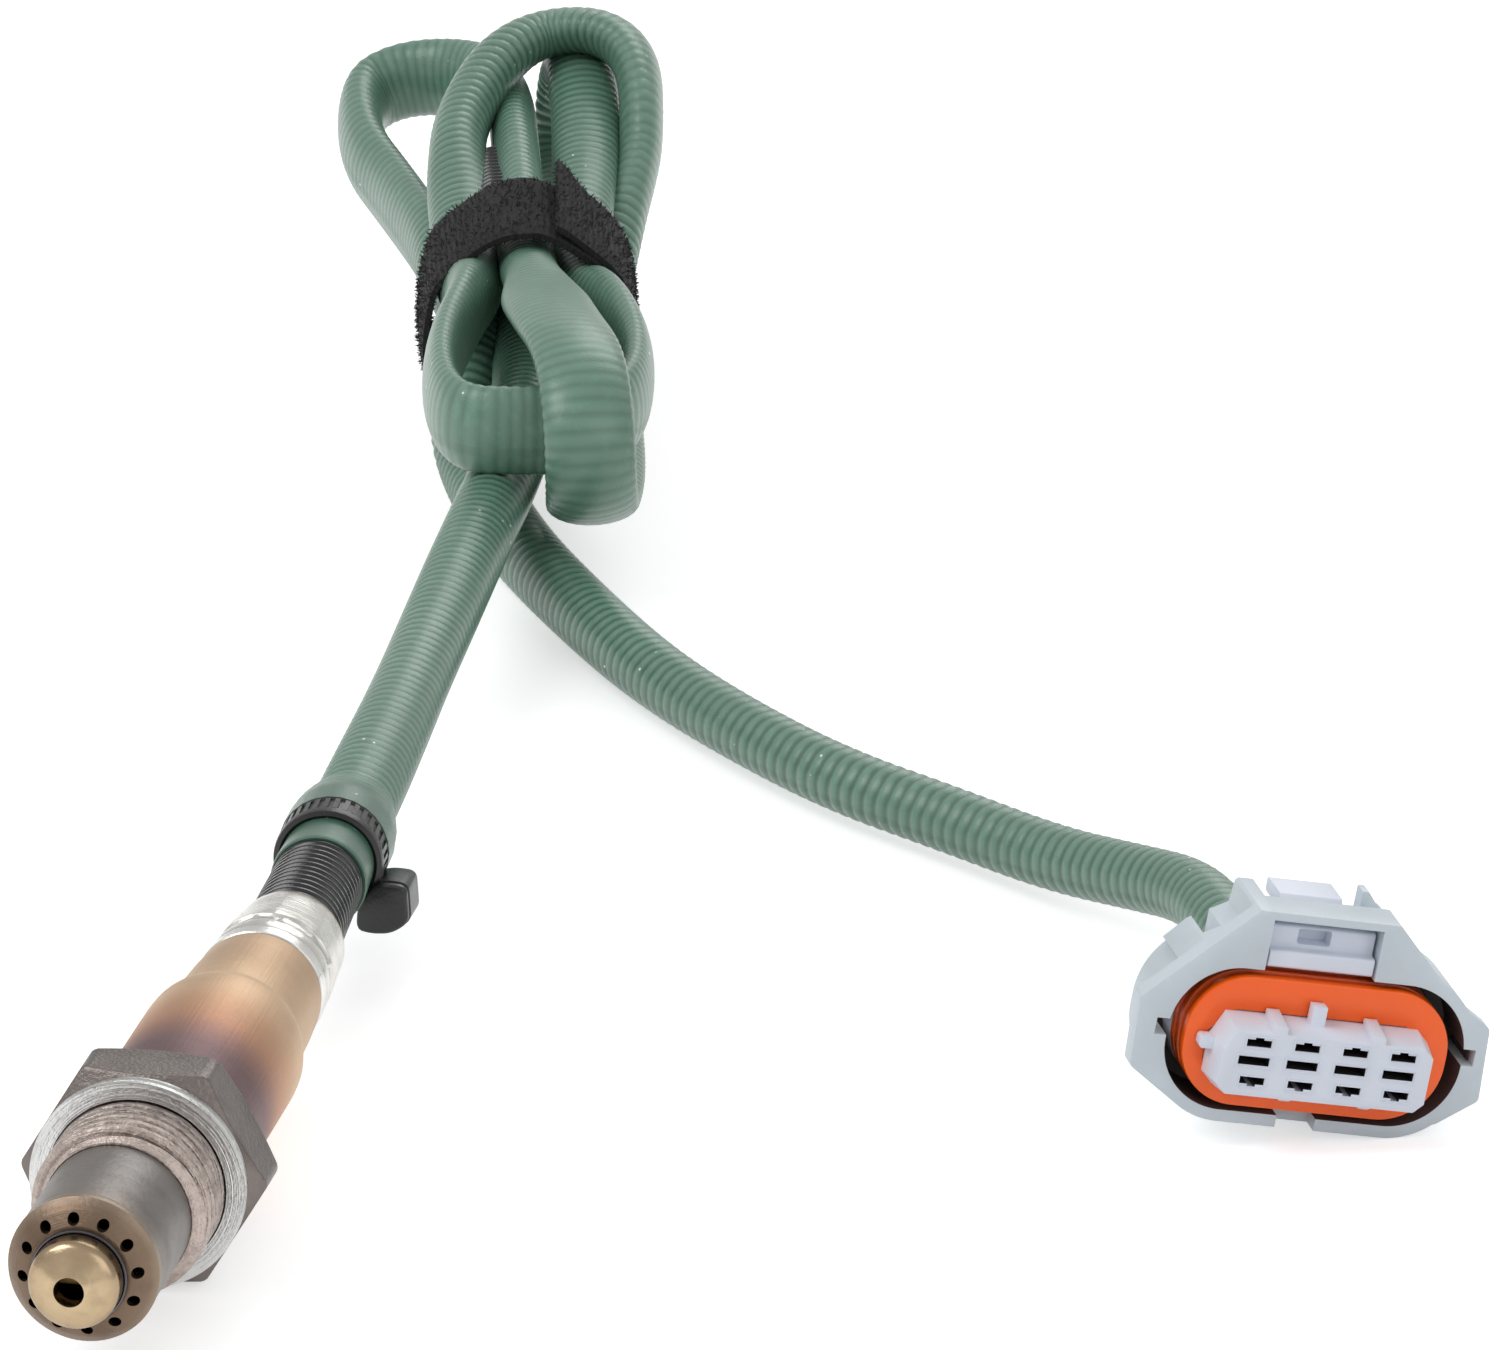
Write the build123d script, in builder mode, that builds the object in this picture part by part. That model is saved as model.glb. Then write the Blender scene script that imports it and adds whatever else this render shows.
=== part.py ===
"""Heated exhaust oxygen sensor with a strapped-up lead and a four-way sealed connector.

Units are millimetres, +Z is up. The origin is the centre of the thread's rear end, in front of the
gasket ring. The sensing tip points to -Y and the lead leaves towards +Y. The sensor lies on one flat
of its hexagon, the lead and the connector lie beside it on the same surface.
"""
import math
import os

from build123d import *

os.makedirs("parts", exist_ok=True)

# ---------------------------------------------------------------- driving sizes
FIT = 0.15                  # clearance of parts that slide together
SEAT_GAP = 0.3              # clearance of soft parts and of anything that moves

thread_r = 9.0              # M18 thread, modelled as its plain major cylinder
thread_length = 9.2         # from the relief behind the thread to the thread's front end
thread_lead = 0.9           # chamfer at the thread's front end
relief_r = 8.2              # undercut behind the thread, where the gasket ring turns freely
gasket_front_y = 0.2
gasket_thick = 1.6
gasket_r = 10.95
gasket_fold = 0.35          # depth of the groove between the folded washer's lips
hex_af = 22.0
hex_length = 8.2
hex_chamfer = 1.1           # how far the corners are turned down
hex_chamfer_angle = 30.0
body_bore_r = 4.5
front_bore_r = 4.9
spigot_length = 4.5         # spigot behind the hexagon that carries the rear sleeve

tube_wall = 0.4
tube_r = 7.5                # outer protection tube
tube_reach = 22.2           # thread's rear end to the rolled rim
tube_seat = 1.4             # depth in the housing's front recess
rim_bead = 0.1
end_face_drop = 1.9         # the end face stands this far in front of the rim
end_hole_count = 12
end_hole_r = 0.6
end_hole_circle_r = 5.8
end_hole_turn = 23.0        # degrees
end_mouth_r = 4.68          # opening for the inner tube
dome_r = 4.55               # inner protection tube
dome_apex = 28.6
dome_hole_r = 1.35

sleeve_wall = 0.7
sleeve_r = 8.65
sleeve_step_y = 34.0        # end of the sleeve's large part
shoulder_y = 39.0
shoulder_r = 8.0
neck_y = 42.4
neck_r = 7.35
neck_end_y = 50.0
neck_end_r = 7.1
sleeve_end_y = 55.0
sleeve_end_r = 6.75
tail_r = 6.3                # the sleeve's end inside the collar
tail_y = 58.8

collar_wall = 0.4
collar_front_y = 55.2
collar_r = 6.8
collar_crimp_y = 60.6
collar_crimp_depth = 0.45
collar_crimp_width = 1.6
collar_waist_y = 65.5
collar_waist_r = 6.4
collar_end_y = 70.5
collar_end_r = 5.8

conduit_rib_count = 12
conduit_r = 5.2             # over the ribs
conduit_groove = 0.45
conduit_wall = 0.6
conduit_hidden = 6.0        # length inside the collar
tail_tip = Vector(-1.3, 97.0, 0.6)   # where the bent conduit ends
wire_r = 1.0
wire_circle_r = 2.3
wire_count = 4

tie_width = 3.8
tie_thick = 0.75
tie_inner_r = 5.25
tie_back = 1.2              # from the conduit's end to the tie's middle
tie_head = (5.6, 5.2, 5.0)

element_width = 4.2
element_thick = 1.3
element_front_y = -25.0
element_rear_y = 36.0
bush_r = body_bore_r - FIT
lower_bush = (-7.0, -1.0)   # front and rear y of each ceramic, stacked face to face
talc_length = 5.0
upper_bush_length = 12.5
holder_gap = 11.0
holder_length = 20.8
clip_thick = 0.3
clip_width = 1.4
clip_length = 10.0
wire_engagement = 6.0       # the wires' length inside the contact holder

cord_r = 4.15               # convoluted sleeve, sensor side
lead_r = 3.95               # convoluted sleeve, connector side

strap_width = 22.0
strap_thick = 1.4
pack_centre = Vector(-16.1, 272.5, 9.0)   # middle of the strapped bundle
pack_turn = 13.2            # degrees, the bundle's length against +Y
pack_rise = 5.7             # degrees, towards the far loops
pack_width = 25.6
pack_height = 19.6
pack_corner_r = 6.0
pack_margin = 3.5           # how far the bundle stands out of the strap at each end
loop_thick = 2 * cord_r
loop_root = 13.2            # the loops leave the bundle just outside the strap

connector_turn = 22.5       # degrees about Z
connector_roll = 9.4        # degrees about its own axis
connector_origin = Vector(110.35, 64.07, -1.37)   # middle of the core's front face
contact_pitch = 5.2
contact_count = 4
slit = (3.3, 0.9)
slit_depth = 6.0
core_size = (22.4, 7.0)
core_centre_y = -0.35
core_chamfer = 2.3
core_flare = 0.5            # how much the core grows on each side behind its face
core_flare_length = 4.4
shell_front = -5.0          # depths are along the connector's axis, core face = 0
flange_thick = 2.4
shell_rear = -15.0
cavity_floor = -13.0
cover_rear = -24.0
hood_rear = -28.0
mouth_size = (32.0, 15.6)
mouth_corner_r = mouth_size[1] / 2 - 0.6
mouth_centre_y = 0.4
shell_wall = 1.3
seal_front = -4.6
seal_length = 5.2
seal_gap = (1.8, 0.7)       # between the seal and the mouth, at the sides and above
seal_size = (mouth_size[0] - 2 * seal_gap[0], mouth_size[1] - 2 * seal_gap[1])
seal_corner_r = seal_size[1] / 2 - 0.6
latch_slot = (-7.0, 4.9)    # the window's left and right, x in the connector's frame
latch_pivot = (-11.0, 11.3) # depth and height of the rocking lever's pivot
pivot_r = 0.9


def across(y):
    """Plane across the sensor's axis, seen from behind, x to -X and y up."""
    return Plane(origin=(0, y, 0), x_dir=(-1, 0, 0), z_dir=(0, 1, 0))


# ---------------------------------------------------------------- housing: thread, hexagon, spigot
hex_front_y = gasket_front_y + gasket_thick
hex_rear_y = hex_front_y + hex_length
spigot_r = sleeve_r - sleeve_wall - FIT / 3
recess_r = tube_r + FIT / 3
with BuildPart() as sensor_housing:
    with BuildSketch(across(hex_front_y)):
        RegularPolygon(hex_af / 2, 6, major_radius=False)
    extrude(amount=hex_length)
    corner_r = hex_af / 2 / math.cos(math.pi / 6)
    taper = (corner_r - hex_af / 2 + hex_chamfer) * math.tan(math.radians(hex_chamfer_angle))
    with BuildSketch(Plane.XY):
        with BuildLine():
            Polyline((0, hex_front_y), (hex_af / 2 - hex_chamfer, hex_front_y), (corner_r, hex_front_y + taper),
                     (corner_r, hex_rear_y - taper), (hex_af / 2 - hex_chamfer, hex_rear_y), (0, hex_rear_y), close=True)
        make_face()
    revolve(axis=Axis.Y, mode=Mode.INTERSECT)
    with BuildSketch(Plane.XY):
        with BuildLine():
            Polyline((0, -thread_length), (thread_r - thread_lead, -thread_length),
                     (thread_r, -thread_length + thread_lead), (thread_r, 0), (relief_r, 0),
                     (relief_r, hex_front_y), (spigot_r, hex_front_y), (spigot_r, hex_rear_y + spigot_length),
                     (0, hex_rear_y + spigot_length), close=True)
        make_face()
    revolve(axis=Axis.Y)
    with BuildSketch(Plane.XY):
        with BuildLine():
            Polyline((0, -thread_length), (recess_r, -thread_length), (recess_r, -thread_length + tube_seat),
                     (front_bore_r, -thread_length + tube_seat), (front_bore_r, lower_bush[0]),
                     (body_bore_r, lower_bush[0]), (body_bore_r, hex_rear_y + spigot_length),
                     (0, hex_rear_y + spigot_length), close=True)
        make_face()
    revolve(axis=Axis.Y, mode=Mode.SUBTRACT)
sensor_housing.part.label = "sensor_housing"
export_step(sensor_housing.part, "parts/sensor_housing.step")

# ---------------------------------------------------------------- gasket: folded crush washer
with BuildPart() as gasket_ring:
    with BuildSketch(Plane.XY):
        with Locations((thread_r + FIT, gasket_front_y)):
            Rectangle(gasket_r - thread_r - FIT, gasket_thick, align=(Align.MIN, Align.MIN))
        with Locations((gasket_r, gasket_front_y + gasket_thick * 0.56)):
            Circle(gasket_fold, mode=Mode.SUBTRACT)
    revolve(axis=Axis.Y)
gasket_ring.part.label = "gasket_ring"
export_step(gasket_ring.part, "parts/gasket_ring.step")

# ---------------------------------------------------------------- outer protection tube
end_face_y = -(tube_reach + end_face_drop)
with BuildPart() as outer_protection_tube:
    with BuildSketch(Plane.XY):
        with BuildLine():
            Polyline((tube_r, -thread_length + tube_seat), (tube_r, -tube_reach + 1.2),
                     (tube_r + rim_bead, -tube_reach + 0.6), (tube_r + rim_bead, -tube_reach),
                     (tube_r - 0.9, -tube_reach - 1.0), (end_mouth_r + 0.5, end_face_y),
                     (end_mouth_r, end_face_y), (end_mouth_r, end_face_y + 2 * tube_wall),
                     (end_mouth_r + tube_wall, end_face_y + 2 * tube_wall),
                     (tube_r - tube_wall - 0.9, -tube_reach - 0.5),
                     (tube_r - tube_wall, -tube_reach + 0.6),
                     (tube_r - tube_wall, -thread_length + tube_seat), close=True)
        make_face()
    revolve(axis=Axis.Y)
    with BuildSketch(across(end_face_y - 1)):
        with PolarLocations(end_hole_circle_r, end_hole_count, start_angle=end_hole_turn):
            Circle(end_hole_r)
    extrude(amount=4, mode=Mode.SUBTRACT)
outer_protection_tube.part.label = "outer_protection_tube"
export_step(outer_protection_tube.part, "parts/outer_protection_tube.step")

# ---------------------------------------------------------------- inner protection tube with its dome
dome_start_y = -(dome_apex - dome_r)
with BuildPart() as inner_protection_tube:
    with BuildSketch(Plane.XY):
        with BuildLine():
            outer = Polyline((front_bore_r - FIT / 3, lower_bush[0]), (front_bore_r - FIT / 3, -thread_length),
                             (dome_r, -thread_length - 0.6), (dome_r, dome_start_y))
            cap = CenterArc((0, dome_start_y), dome_r, 0, -90)
            down = Line((0, -dome_apex), (0, -dome_apex + tube_wall))
            inner_cap = CenterArc((0, dome_start_y), dome_r - tube_wall, -90, 90)
            inner = Polyline((dome_r - tube_wall, dome_start_y), (dome_r - tube_wall, -thread_length - 0.6),
                             (front_bore_r - FIT / 3 - tube_wall, -thread_length),
                             (front_bore_r - FIT / 3 - tube_wall, lower_bush[0]),
                             (front_bore_r - FIT / 3, lower_bush[0]))
        make_face()
    revolve(axis=Axis.Y)
    with BuildSketch(across(-dome_apex - 1)):
        Circle(dome_hole_r)
    extrude(amount=3, mode=Mode.SUBTRACT)
inner_protection_tube.part.label = "inner_protection_tube"
export_step(inner_protection_tube.part, "parts/inner_protection_tube.step")

# ---------------------------------------------------------------- ceramics round the sensing element
talc_start_y = lower_bush[1]
talc_end_y = talc_start_y + talc_length
upper_end_y = talc_end_y + upper_bush_length
holder_start_y = upper_end_y + holder_gap
holder_end_y = holder_start_y + holder_length
holder_r = neck_end_r - sleeve_wall - FIT
element_slot = (element_width + 2 * FIT, element_thick + 2 * FIT)

with BuildPart() as sensing_element:
    with BuildSketch(across(element_front_y)):
        Rectangle(element_width, element_thick)
    extrude(amount=element_rear_y - element_front_y)
    chamfer(sensing_element.faces().sort_by(Axis.Y)[0].edges().filter_by(Axis.X), 0.35)
sensing_element.part.label = "sensing_element"
export_step(sensing_element.part, "parts/sensing_element.step")

with BuildPart() as lower_ceramic_bush:
    with BuildSketch(across(lower_bush[0])):
        Circle(bush_r)
        Rectangle(*element_slot, mode=Mode.SUBTRACT)
    extrude(amount=lower_bush[1] - lower_bush[0])
lower_ceramic_bush.part.label = "lower_ceramic_bush"
export_step(lower_ceramic_bush.part, "parts/lower_ceramic_bush.step")

with BuildPart() as talc_seal:
    with BuildSketch(across(talc_start_y)):
        Circle(bush_r)
        Rectangle(*element_slot, mode=Mode.SUBTRACT)
    extrude(amount=talc_length)
talc_seal.part.label = "talc_seal"
export_step(talc_seal.part, "parts/talc_seal.step")

with BuildPart() as upper_ceramic_bush:
    with BuildSketch(across(talc_end_y)):
        Circle(bush_r)
        Rectangle(*element_slot, mode=Mode.SUBTRACT)
    extrude(amount=upper_bush_length)
upper_ceramic_bush.part.label = "upper_ceramic_bush"
export_step(upper_ceramic_bush.part, "parts/upper_ceramic_bush.step")

# contact holder: ceramic block with a slot for the element's end and four clip channels
clip_gap = element_thick / 2
with BuildPart() as contact_holder:
    with BuildSketch(across(holder_start_y)):
        Circle(holder_r)
        Rectangle(element_width + 2 * FIT, element_thick + 2 * (clip_thick + FIT), mode=Mode.SUBTRACT)
    extrude(amount=holder_length)
    with BuildSketch(across(holder_end_y)):
        with PolarLocations(wire_circle_r, wire_count, start_angle=45):
            Circle(wire_r + FIT)
    extrude(amount=-wire_engagement, mode=Mode.SUBTRACT)
contact_holder.part.label = "contact_holder"
export_step(contact_holder.part, "parts/contact_holder.step")

for number, (side, level) in enumerate(((-1, 1), (1, 1), (-1, -1), (1, -1)), start=1):
    with BuildPart() as contact_clip:
        with BuildSketch(across(element_rear_y - clip_length)):
            with Locations((side * element_width / 4, level * (clip_gap + clip_thick / 2))):
                Rectangle(clip_width, clip_thick)
        extrude(amount=clip_length + wire_engagement)
    contact_clip.part.label = f"contact_clip_{number}"
    export_step(contact_clip.part, f"parts/contact_clip_{number}.step")

# ---------------------------------------------------------------- rear protective sleeve
with BuildPart() as protective_sleeve:
    with BuildSketch(Plane.XY):
        with BuildLine():
            Polyline((sleeve_r, hex_rear_y), (sleeve_r, sleeve_step_y), (shoulder_r, shoulder_y),
                     (neck_r, neck_y), (neck_end_r, neck_end_y), (sleeve_end_r, sleeve_end_y),
                     (tail_r, sleeve_end_y), (tail_r, tail_y), (tail_r - sleeve_wall, tail_y),
                     (tail_r - sleeve_wall, sleeve_end_y - sleeve_wall),
                     (neck_end_r - sleeve_wall, neck_end_y - sleeve_wall), (neck_r - sleeve_wall, neck_y - sleeve_wall),
                     (shoulder_r - sleeve_wall, shoulder_y), (sleeve_r - sleeve_wall, sleeve_step_y),
                     (sleeve_r - sleeve_wall, hex_rear_y), close=True)
        sleeve_face = make_face()
        fillet(sleeve_face.vertices().filter_by(lambda v: abs(v.Y - sleeve_step_y) < 0.1), 6.0)
    revolve(axis=Axis.Y)
protective_sleeve.part.label = "protective_sleeve"
export_step(protective_sleeve.part, "parts/protective_sleeve.step")

# ---------------------------------------------------------------- crimped collar
groove_front_y = collar_crimp_y - collar_crimp_width / 2
groove_rear_y = collar_crimp_y + collar_crimp_width / 2
groove_r = collar_r - collar_crimp_depth
with BuildPart() as crimp_collar:
    with BuildSketch(Plane.XY):
        with BuildLine():
            Polyline((collar_r, collar_front_y), (collar_r, groove_front_y - 0.4), (groove_r, groove_front_y),
                     (groove_r, groove_rear_y), (collar_r - 0.05, groove_rear_y + 0.4),
                     (collar_waist_r, collar_waist_y), (collar_end_r, collar_end_y),
                     (collar_end_r - collar_wall, collar_end_y), (collar_waist_r - collar_wall, collar_waist_y),
                     (collar_r - collar_wall, groove_rear_y + 0.4), (groove_r - collar_wall, groove_rear_y),
                     (groove_r - collar_wall, groove_front_y), (collar_r - collar_wall, groove_front_y - 0.4),
                     (collar_r - collar_wall, collar_front_y), close=True)
        make_face()
    revolve(axis=Axis.Y)
crimp_collar.part.label = "crimp_collar"
export_step(crimp_collar.part, "parts/crimp_collar.step")

# ---------------------------------------------------------------- cable grommet and lead wires
grommet_start_y = holder_end_y + 0.4
grommet_end_y = groove_rear_y
with BuildPart() as cable_grommet:
    with BuildSketch(Plane.XY):
        with BuildLine():
            Polyline((0, grommet_start_y), (neck_end_r - sleeve_wall - FIT, grommet_start_y),
                     (neck_end_r - sleeve_wall - FIT, neck_end_y - sleeve_wall),
                     (tail_r - sleeve_wall - FIT / 3, sleeve_end_y - sleeve_wall),
                     (tail_r - sleeve_wall - FIT / 3, grommet_end_y), (0, grommet_end_y), close=True)
        make_face()
    revolve(axis=Axis.Y)
    with BuildSketch(across(grommet_start_y)):
        with PolarLocations(wire_circle_r, wire_count, start_angle=45):
            Circle(wire_r)
    extrude(amount=grommet_end_y - grommet_start_y, mode=Mode.SUBTRACT)
cable_grommet.part.label = "cable_grommet"
export_step(cable_grommet.part, "parts/cable_grommet.step")

wire_start_y = holder_end_y - wire_engagement
for number in range(1, wire_count + 1):
    angle = math.radians(45 + (number - 1) * 360 / wire_count)
    wire_x, wire_z = wire_circle_r * math.cos(angle), wire_circle_r * math.sin(angle)
    with BuildPart() as lead_wire:
        with BuildLine():
            FilletPolyline((wire_x, wire_start_y, wire_z), (wire_x, collar_end_y, wire_z),
                           (wire_x + tail_tip.X, tail_tip.Y - 0.5, wire_z + tail_tip.Z), radius=20)
        with BuildSketch(across(wire_start_y)):
            with Locations((-wire_x, wire_z)):
                Circle(wire_r)
        sweep()
    lead_wire.part.label = f"lead_wire_{number}"
    export_step(lead_wire.part, f"parts/lead_wire_{number}.step")

# ---------------------------------------------------------------- corrugated conduit, bent slightly at the tail
tail_start = Vector(0, collar_end_y, 0)
tail_axis = (tail_tip - tail_start).normalized()
tail_length = (tail_tip - tail_start).length
tail_plane = Plane(origin=tail_start, x_dir=Vector(1, 0, 0), z_dir=tail_axis)
rib_pitch = (tail_length + conduit_hidden) / (conduit_rib_count + 3)
with BuildPart() as corrugated_tube:
    with BuildSketch(tail_plane.offset(-conduit_hidden)):
        Circle(conduit_r)
        Circle(conduit_r - conduit_groove - conduit_wall, mode=Mode.SUBTRACT)
    extrude(amount=tail_length + conduit_hidden)
    for rib in range(conduit_rib_count + 2):
        with BuildSketch(tail_plane.offset(-conduit_hidden + (rib + 0.75) * rib_pitch)):
            Circle(conduit_r + 0.5)
            Circle(conduit_r - conduit_groove, mode=Mode.SUBTRACT)
        extrude(amount=rib_pitch / 2, mode=Mode.SUBTRACT)
corrugated_tube.part.label = "corrugated_tube"
export_step(corrugated_tube.part, "parts/corrugated_tube.step")

# ---------------------------------------------------------------- cable tie
tie_outer_r = tie_inner_r + tie_thick
tie_plane = Plane(origin=tail_tip - tail_axis * tie_back, x_dir=Vector(-1, 0, 0), z_dir=tail_axis)
tie_head_angle = 218.0
tie_head_reach = tie_outer_r + tie_head[1] / 2 - 0.6
with BuildPart() as cable_tie:
    with BuildSketch(tie_plane.offset(-tie_width / 2)):
        Circle(tie_outer_r)
        Circle(tie_inner_r, mode=Mode.SUBTRACT)
    extrude(amount=tie_width)
    with BuildSketch(tie_plane.offset(-tie_head[2] / 2 - 0.4)):
        with PolarLocations(tie_head_reach, 1, start_angle=tie_head_angle):
            RectangleRounded(tie_head[1], tie_head[0], 1.2)
    extrude(amount=tie_head[2])
    with BuildSketch(tie_plane.offset(-tie_head[2])):
        Circle(tie_inner_r)
    extrude(amount=2 * tie_head[2], mode=Mode.SUBTRACT)
cable_tie.part.label = "cable_tie"
export_step(cable_tie.part, "parts/cable_tie.step")

# ---------------------------------------------------------------- cord: two free stretches
sensor_side_route = [
    (-1.3, 97.2, 0.6), (-2.8, 128.0, 0.5), (-4.7, 162.0, 1.2), (-6.6, 196.0, 2.0),
    (-8.0, 226.0, 2.6), (-10.6, 247.0, 3.1), (-12.9, 258.4, 3.0),
]
connector_side_route = [
    (-16.8, 247.0, -6.7), (-7.1, 223.0, -6.8), (6.5, 199.0, -6.8), (18.0, 181.0, -6.8),
    (30.5, 166.0, -6.8), (44.0, 152.5, -6.8), (58.0, 143.0, -6.8), (71.0, 133.0, -6.6),
    (81.5, 123.0, -4.2), (89.0, 114.6, -2.0), (94.0, 103.6, -1.2), (99.7, 89.8, -1.07),
]


def bend_radii(route):
    """Each corner's arc is as large as its two runs allow."""
    points = [Vector(*point) for point in route]
    radii = []
    for before, corner, after in zip(points, points[1:], points[2:]):
        turn = math.radians((corner - before).get_angle(after - corner))
        shorter = min((corner - before).length, (after - corner).length)
        radii.append(0.45 * shorter / math.tan(turn / 2))
    return radii


for name, route, radius in (("cord_sensor_side", sensor_side_route, cord_r),
                            ("cord_connector_side", connector_side_route, lead_r)):
    radii = bend_radii(route)
    print(name, "bend radii", [round(value, 1) for value in radii])
    with BuildPart() as cord:
        with BuildLine() as path:
            FilletPolyline(*route, radius=radii)
        start = Vector(*route[0])
        with BuildSketch(Plane(origin=start, z_dir=(Vector(*route[1]) - start).normalized())):
            Circle(radius)
        sweep()
    length = sum(edge.length for edge in path.edges())
    ratio = cord.part.volume / (length * math.pi * radius**2)
    print(name, "length", round(length, 1), "volume ratio", round(ratio, 4))
    cord.part.label = name
    export_step(cord.part, f"parts/{name}.step")

# ---------------------------------------------------------------- cord: the folded hank as one solid
turn_angle, rise_angle = math.radians(pack_turn), math.radians(pack_rise)
pack_side = Vector(math.cos(turn_angle), math.sin(turn_angle), 0)
pack_level = Vector(-math.sin(turn_angle), math.cos(turn_angle), 0)
pack_along = pack_level * math.cos(rise_angle) + Vector(0, 0, math.sin(rise_angle))
pack_plane = Plane(origin=pack_centre, x_dir=pack_side, z_dir=pack_along)
flat_plane = Plane(origin=pack_centre, x_dir=pack_side, z_dir=Vector(0, 0, 1))
edge_plane = Plane(origin=pack_centre, x_dir=pack_level, z_dir=pack_side)


near_loop = [(-11, -loop_root), (-16, -40), (-13, -67.5), (8, -67.5), (16, -56), (16, -34), (11, -loop_root)]
far_left_loop = [(-9, loop_root), (-24, 50), (-24, 69), (-10, 73), (3, 70), (4, 40), (4, loop_root)]
far_arch = [(-9, loop_root), (-11, 40), (0, 55), (12, 53), (19, 42), (19, 24), (10, loop_root)]
near_fold = [(-loop_root, -7), (-56, -11.5), (-76, -9), (-81, 3), (-75, 15), (-56, 16), (-loop_root, 8)]
far_fold = [(loop_root, -7), (48, -9), (61, -4), (63, 8), (54, 15), (loop_root, 8)]
foot = [(0, -lead_r), (0, lead_r), (-6.0, 9.5), (-9.5, 13.4), (-11.7, 13.6), (-11.7, 5.6), (-7.5, -0.5),
        (-3.5, -lead_r)]
arch_rise = 18              # degrees


def slab(plane, outline, corner_r, level, thick):
    """A rounded plate between outline's corners, thick across plane, its middle at level."""
    with BuildSketch(plane.offset(level - thick / 2)) as plate:
        with BuildLine():
            Polyline(*outline, close=True)
        make_face()
        fillet(plate.vertices(), corner_r)
    extrude(plate.sketch, amount=thick)


with BuildPart() as cord_hank:
    with BuildSketch(pack_plane.offset(-strap_width / 2 - pack_margin)):
        RectangleRounded(pack_width, pack_height, pack_corner_r)
    extrude(amount=strap_width + 2 * pack_margin)
    # near flat loop, far left loop and the far arch, which rises
    slab(flat_plane, near_loop, 4.0, 2.5, loop_thick)
    slab(flat_plane, far_left_loop, 3.5, 0.5, 2 * loop_thick)
    slab(flat_plane.rotated((arch_rise, 0, 0)), far_arch, 4.0, 3.0, loop_thick)
    # near and far folds stand on edge
    slab(edge_plane, near_fold, 4.0, 7.5, 0.8 * loop_thick)
    slab(edge_plane, far_fold, 3.5, 7.0, loop_thick)
    # the strand that steps down to the surface
    lead_start, lead_next = Vector(*connector_side_route[0]), Vector(*connector_side_route[1])
    lead_heading = (lead_next - lead_start).normalized()
    foot_plane = Plane(origin=lead_start, x_dir=lead_heading, z_dir=lead_heading.cross(Vector(0, 0, 1)))
    with BuildSketch(foot_plane.offset(-lead_r)):
        with BuildLine():
            Polyline(*foot, close=True)
        make_face()
    extrude(amount=2 * lead_r)
cord_hank.part.label = "cord_hank"
export_step(cord_hank.part, "parts/cord_hank.step")

# ---------------------------------------------------------------- strap round the hank
with BuildPart() as strap:
    with BuildSketch(pack_plane.offset(-strap_width / 2)):
        RectangleRounded(pack_width + 2 * (SEAT_GAP + strap_thick), pack_height + 2 * (SEAT_GAP + strap_thick),
                         pack_corner_r + SEAT_GAP + strap_thick)
        RectangleRounded(pack_width + 2 * SEAT_GAP, pack_height + 2 * SEAT_GAP, pack_corner_r + SEAT_GAP,
                         mode=Mode.SUBTRACT)
    extrude(amount=strap_width)
strap.part.label = "strap"
export_step(strap.part, "parts/strap.step")

# ---------------------------------------------------------------- connector frame
turn, roll = math.radians(connector_turn), math.radians(connector_roll)
level_x = Vector(math.cos(turn), math.sin(turn), 0)
connector_axis = Vector(math.sin(turn), -math.cos(turn), 0)
connector_x = level_x * math.cos(roll) - Vector(0, 0, math.sin(roll))
connector_up = level_x * math.sin(roll) + Vector(0, 0, math.cos(roll))


def facing(depth):
    """Plane across the connector's axis at a depth, seen from its open end, x right and y up."""
    return Plane(origin=connector_origin + connector_axis * depth, x_dir=connector_x, z_dir=connector_axis)


def sideways(x):
    """Plane along the connector's axis at x: its own x runs to the open end and y is up."""
    return Plane(origin=connector_origin + connector_x * x, x_dir=connector_axis, z_dir=-connector_x)


contact_xs = [(column - (contact_count - 1) / 2) * contact_pitch for column in range(contact_count)]

# ---------------------------------------------------------------- connector shell
shell_outline = [
    (-13.3, -7.4), (-19.2, -3.6), (-19.5, 4.0), (-8.6, 14.6), (6.6, 14.5), (14.2, 6.9), (18.3, 4.4),
    (18.7, -3.6), (14.6, -6.6), (8.6, -8.3), (3.0, -8.4), (-2.4, -8.4),
]
key_notch = (1.3, 1.8)
lip_notch = (4.2, 2.6)
bridge_bottom = 13.7
bridge_length = 5.0
body_size = (mouth_size[0] + 2 * shell_wall, mouth_size[1] + 2 * shell_wall)
slot_floor = mouth_centre_y + body_size[1] / 2
slot_width = latch_slot[1] - latch_slot[0]
slot_middle = sum(latch_slot) / 2
hook_length = 3.6
roof = [(-8.6, 14.6), (-8.8, bridge_bottom), (6.9, bridge_bottom), (6.6, 14.5)]
wing = [(-15.3, 7.3), (-13.2, 9.6), (-9.1, 11.9), (-8.9, 14.3), (-8.6, 14.6), (latch_slot[0], 14.6), (latch_slot[0], 8.4)]
right_cheek = [(latch_slot[1], 8.4), (latch_slot[1], 13.5), (6.8, 13.4), (11.0, 9.8), (14.0, 6.8)]
horn = [(4.3, 12.2), (6.8, 12.2), (6.5, 13.4), (5.0, 15.2), (4.3, 15.2)]   # upright beside the slot, at its rear
horn_length = 2.2
lead_notch = [(-13.4, 12.5), (-12.0, 6.9), (-11.0, 6.9), (-11.0, 12.5)]    # cut into the wing from behind
lead_notch_length = 5.0
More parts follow.
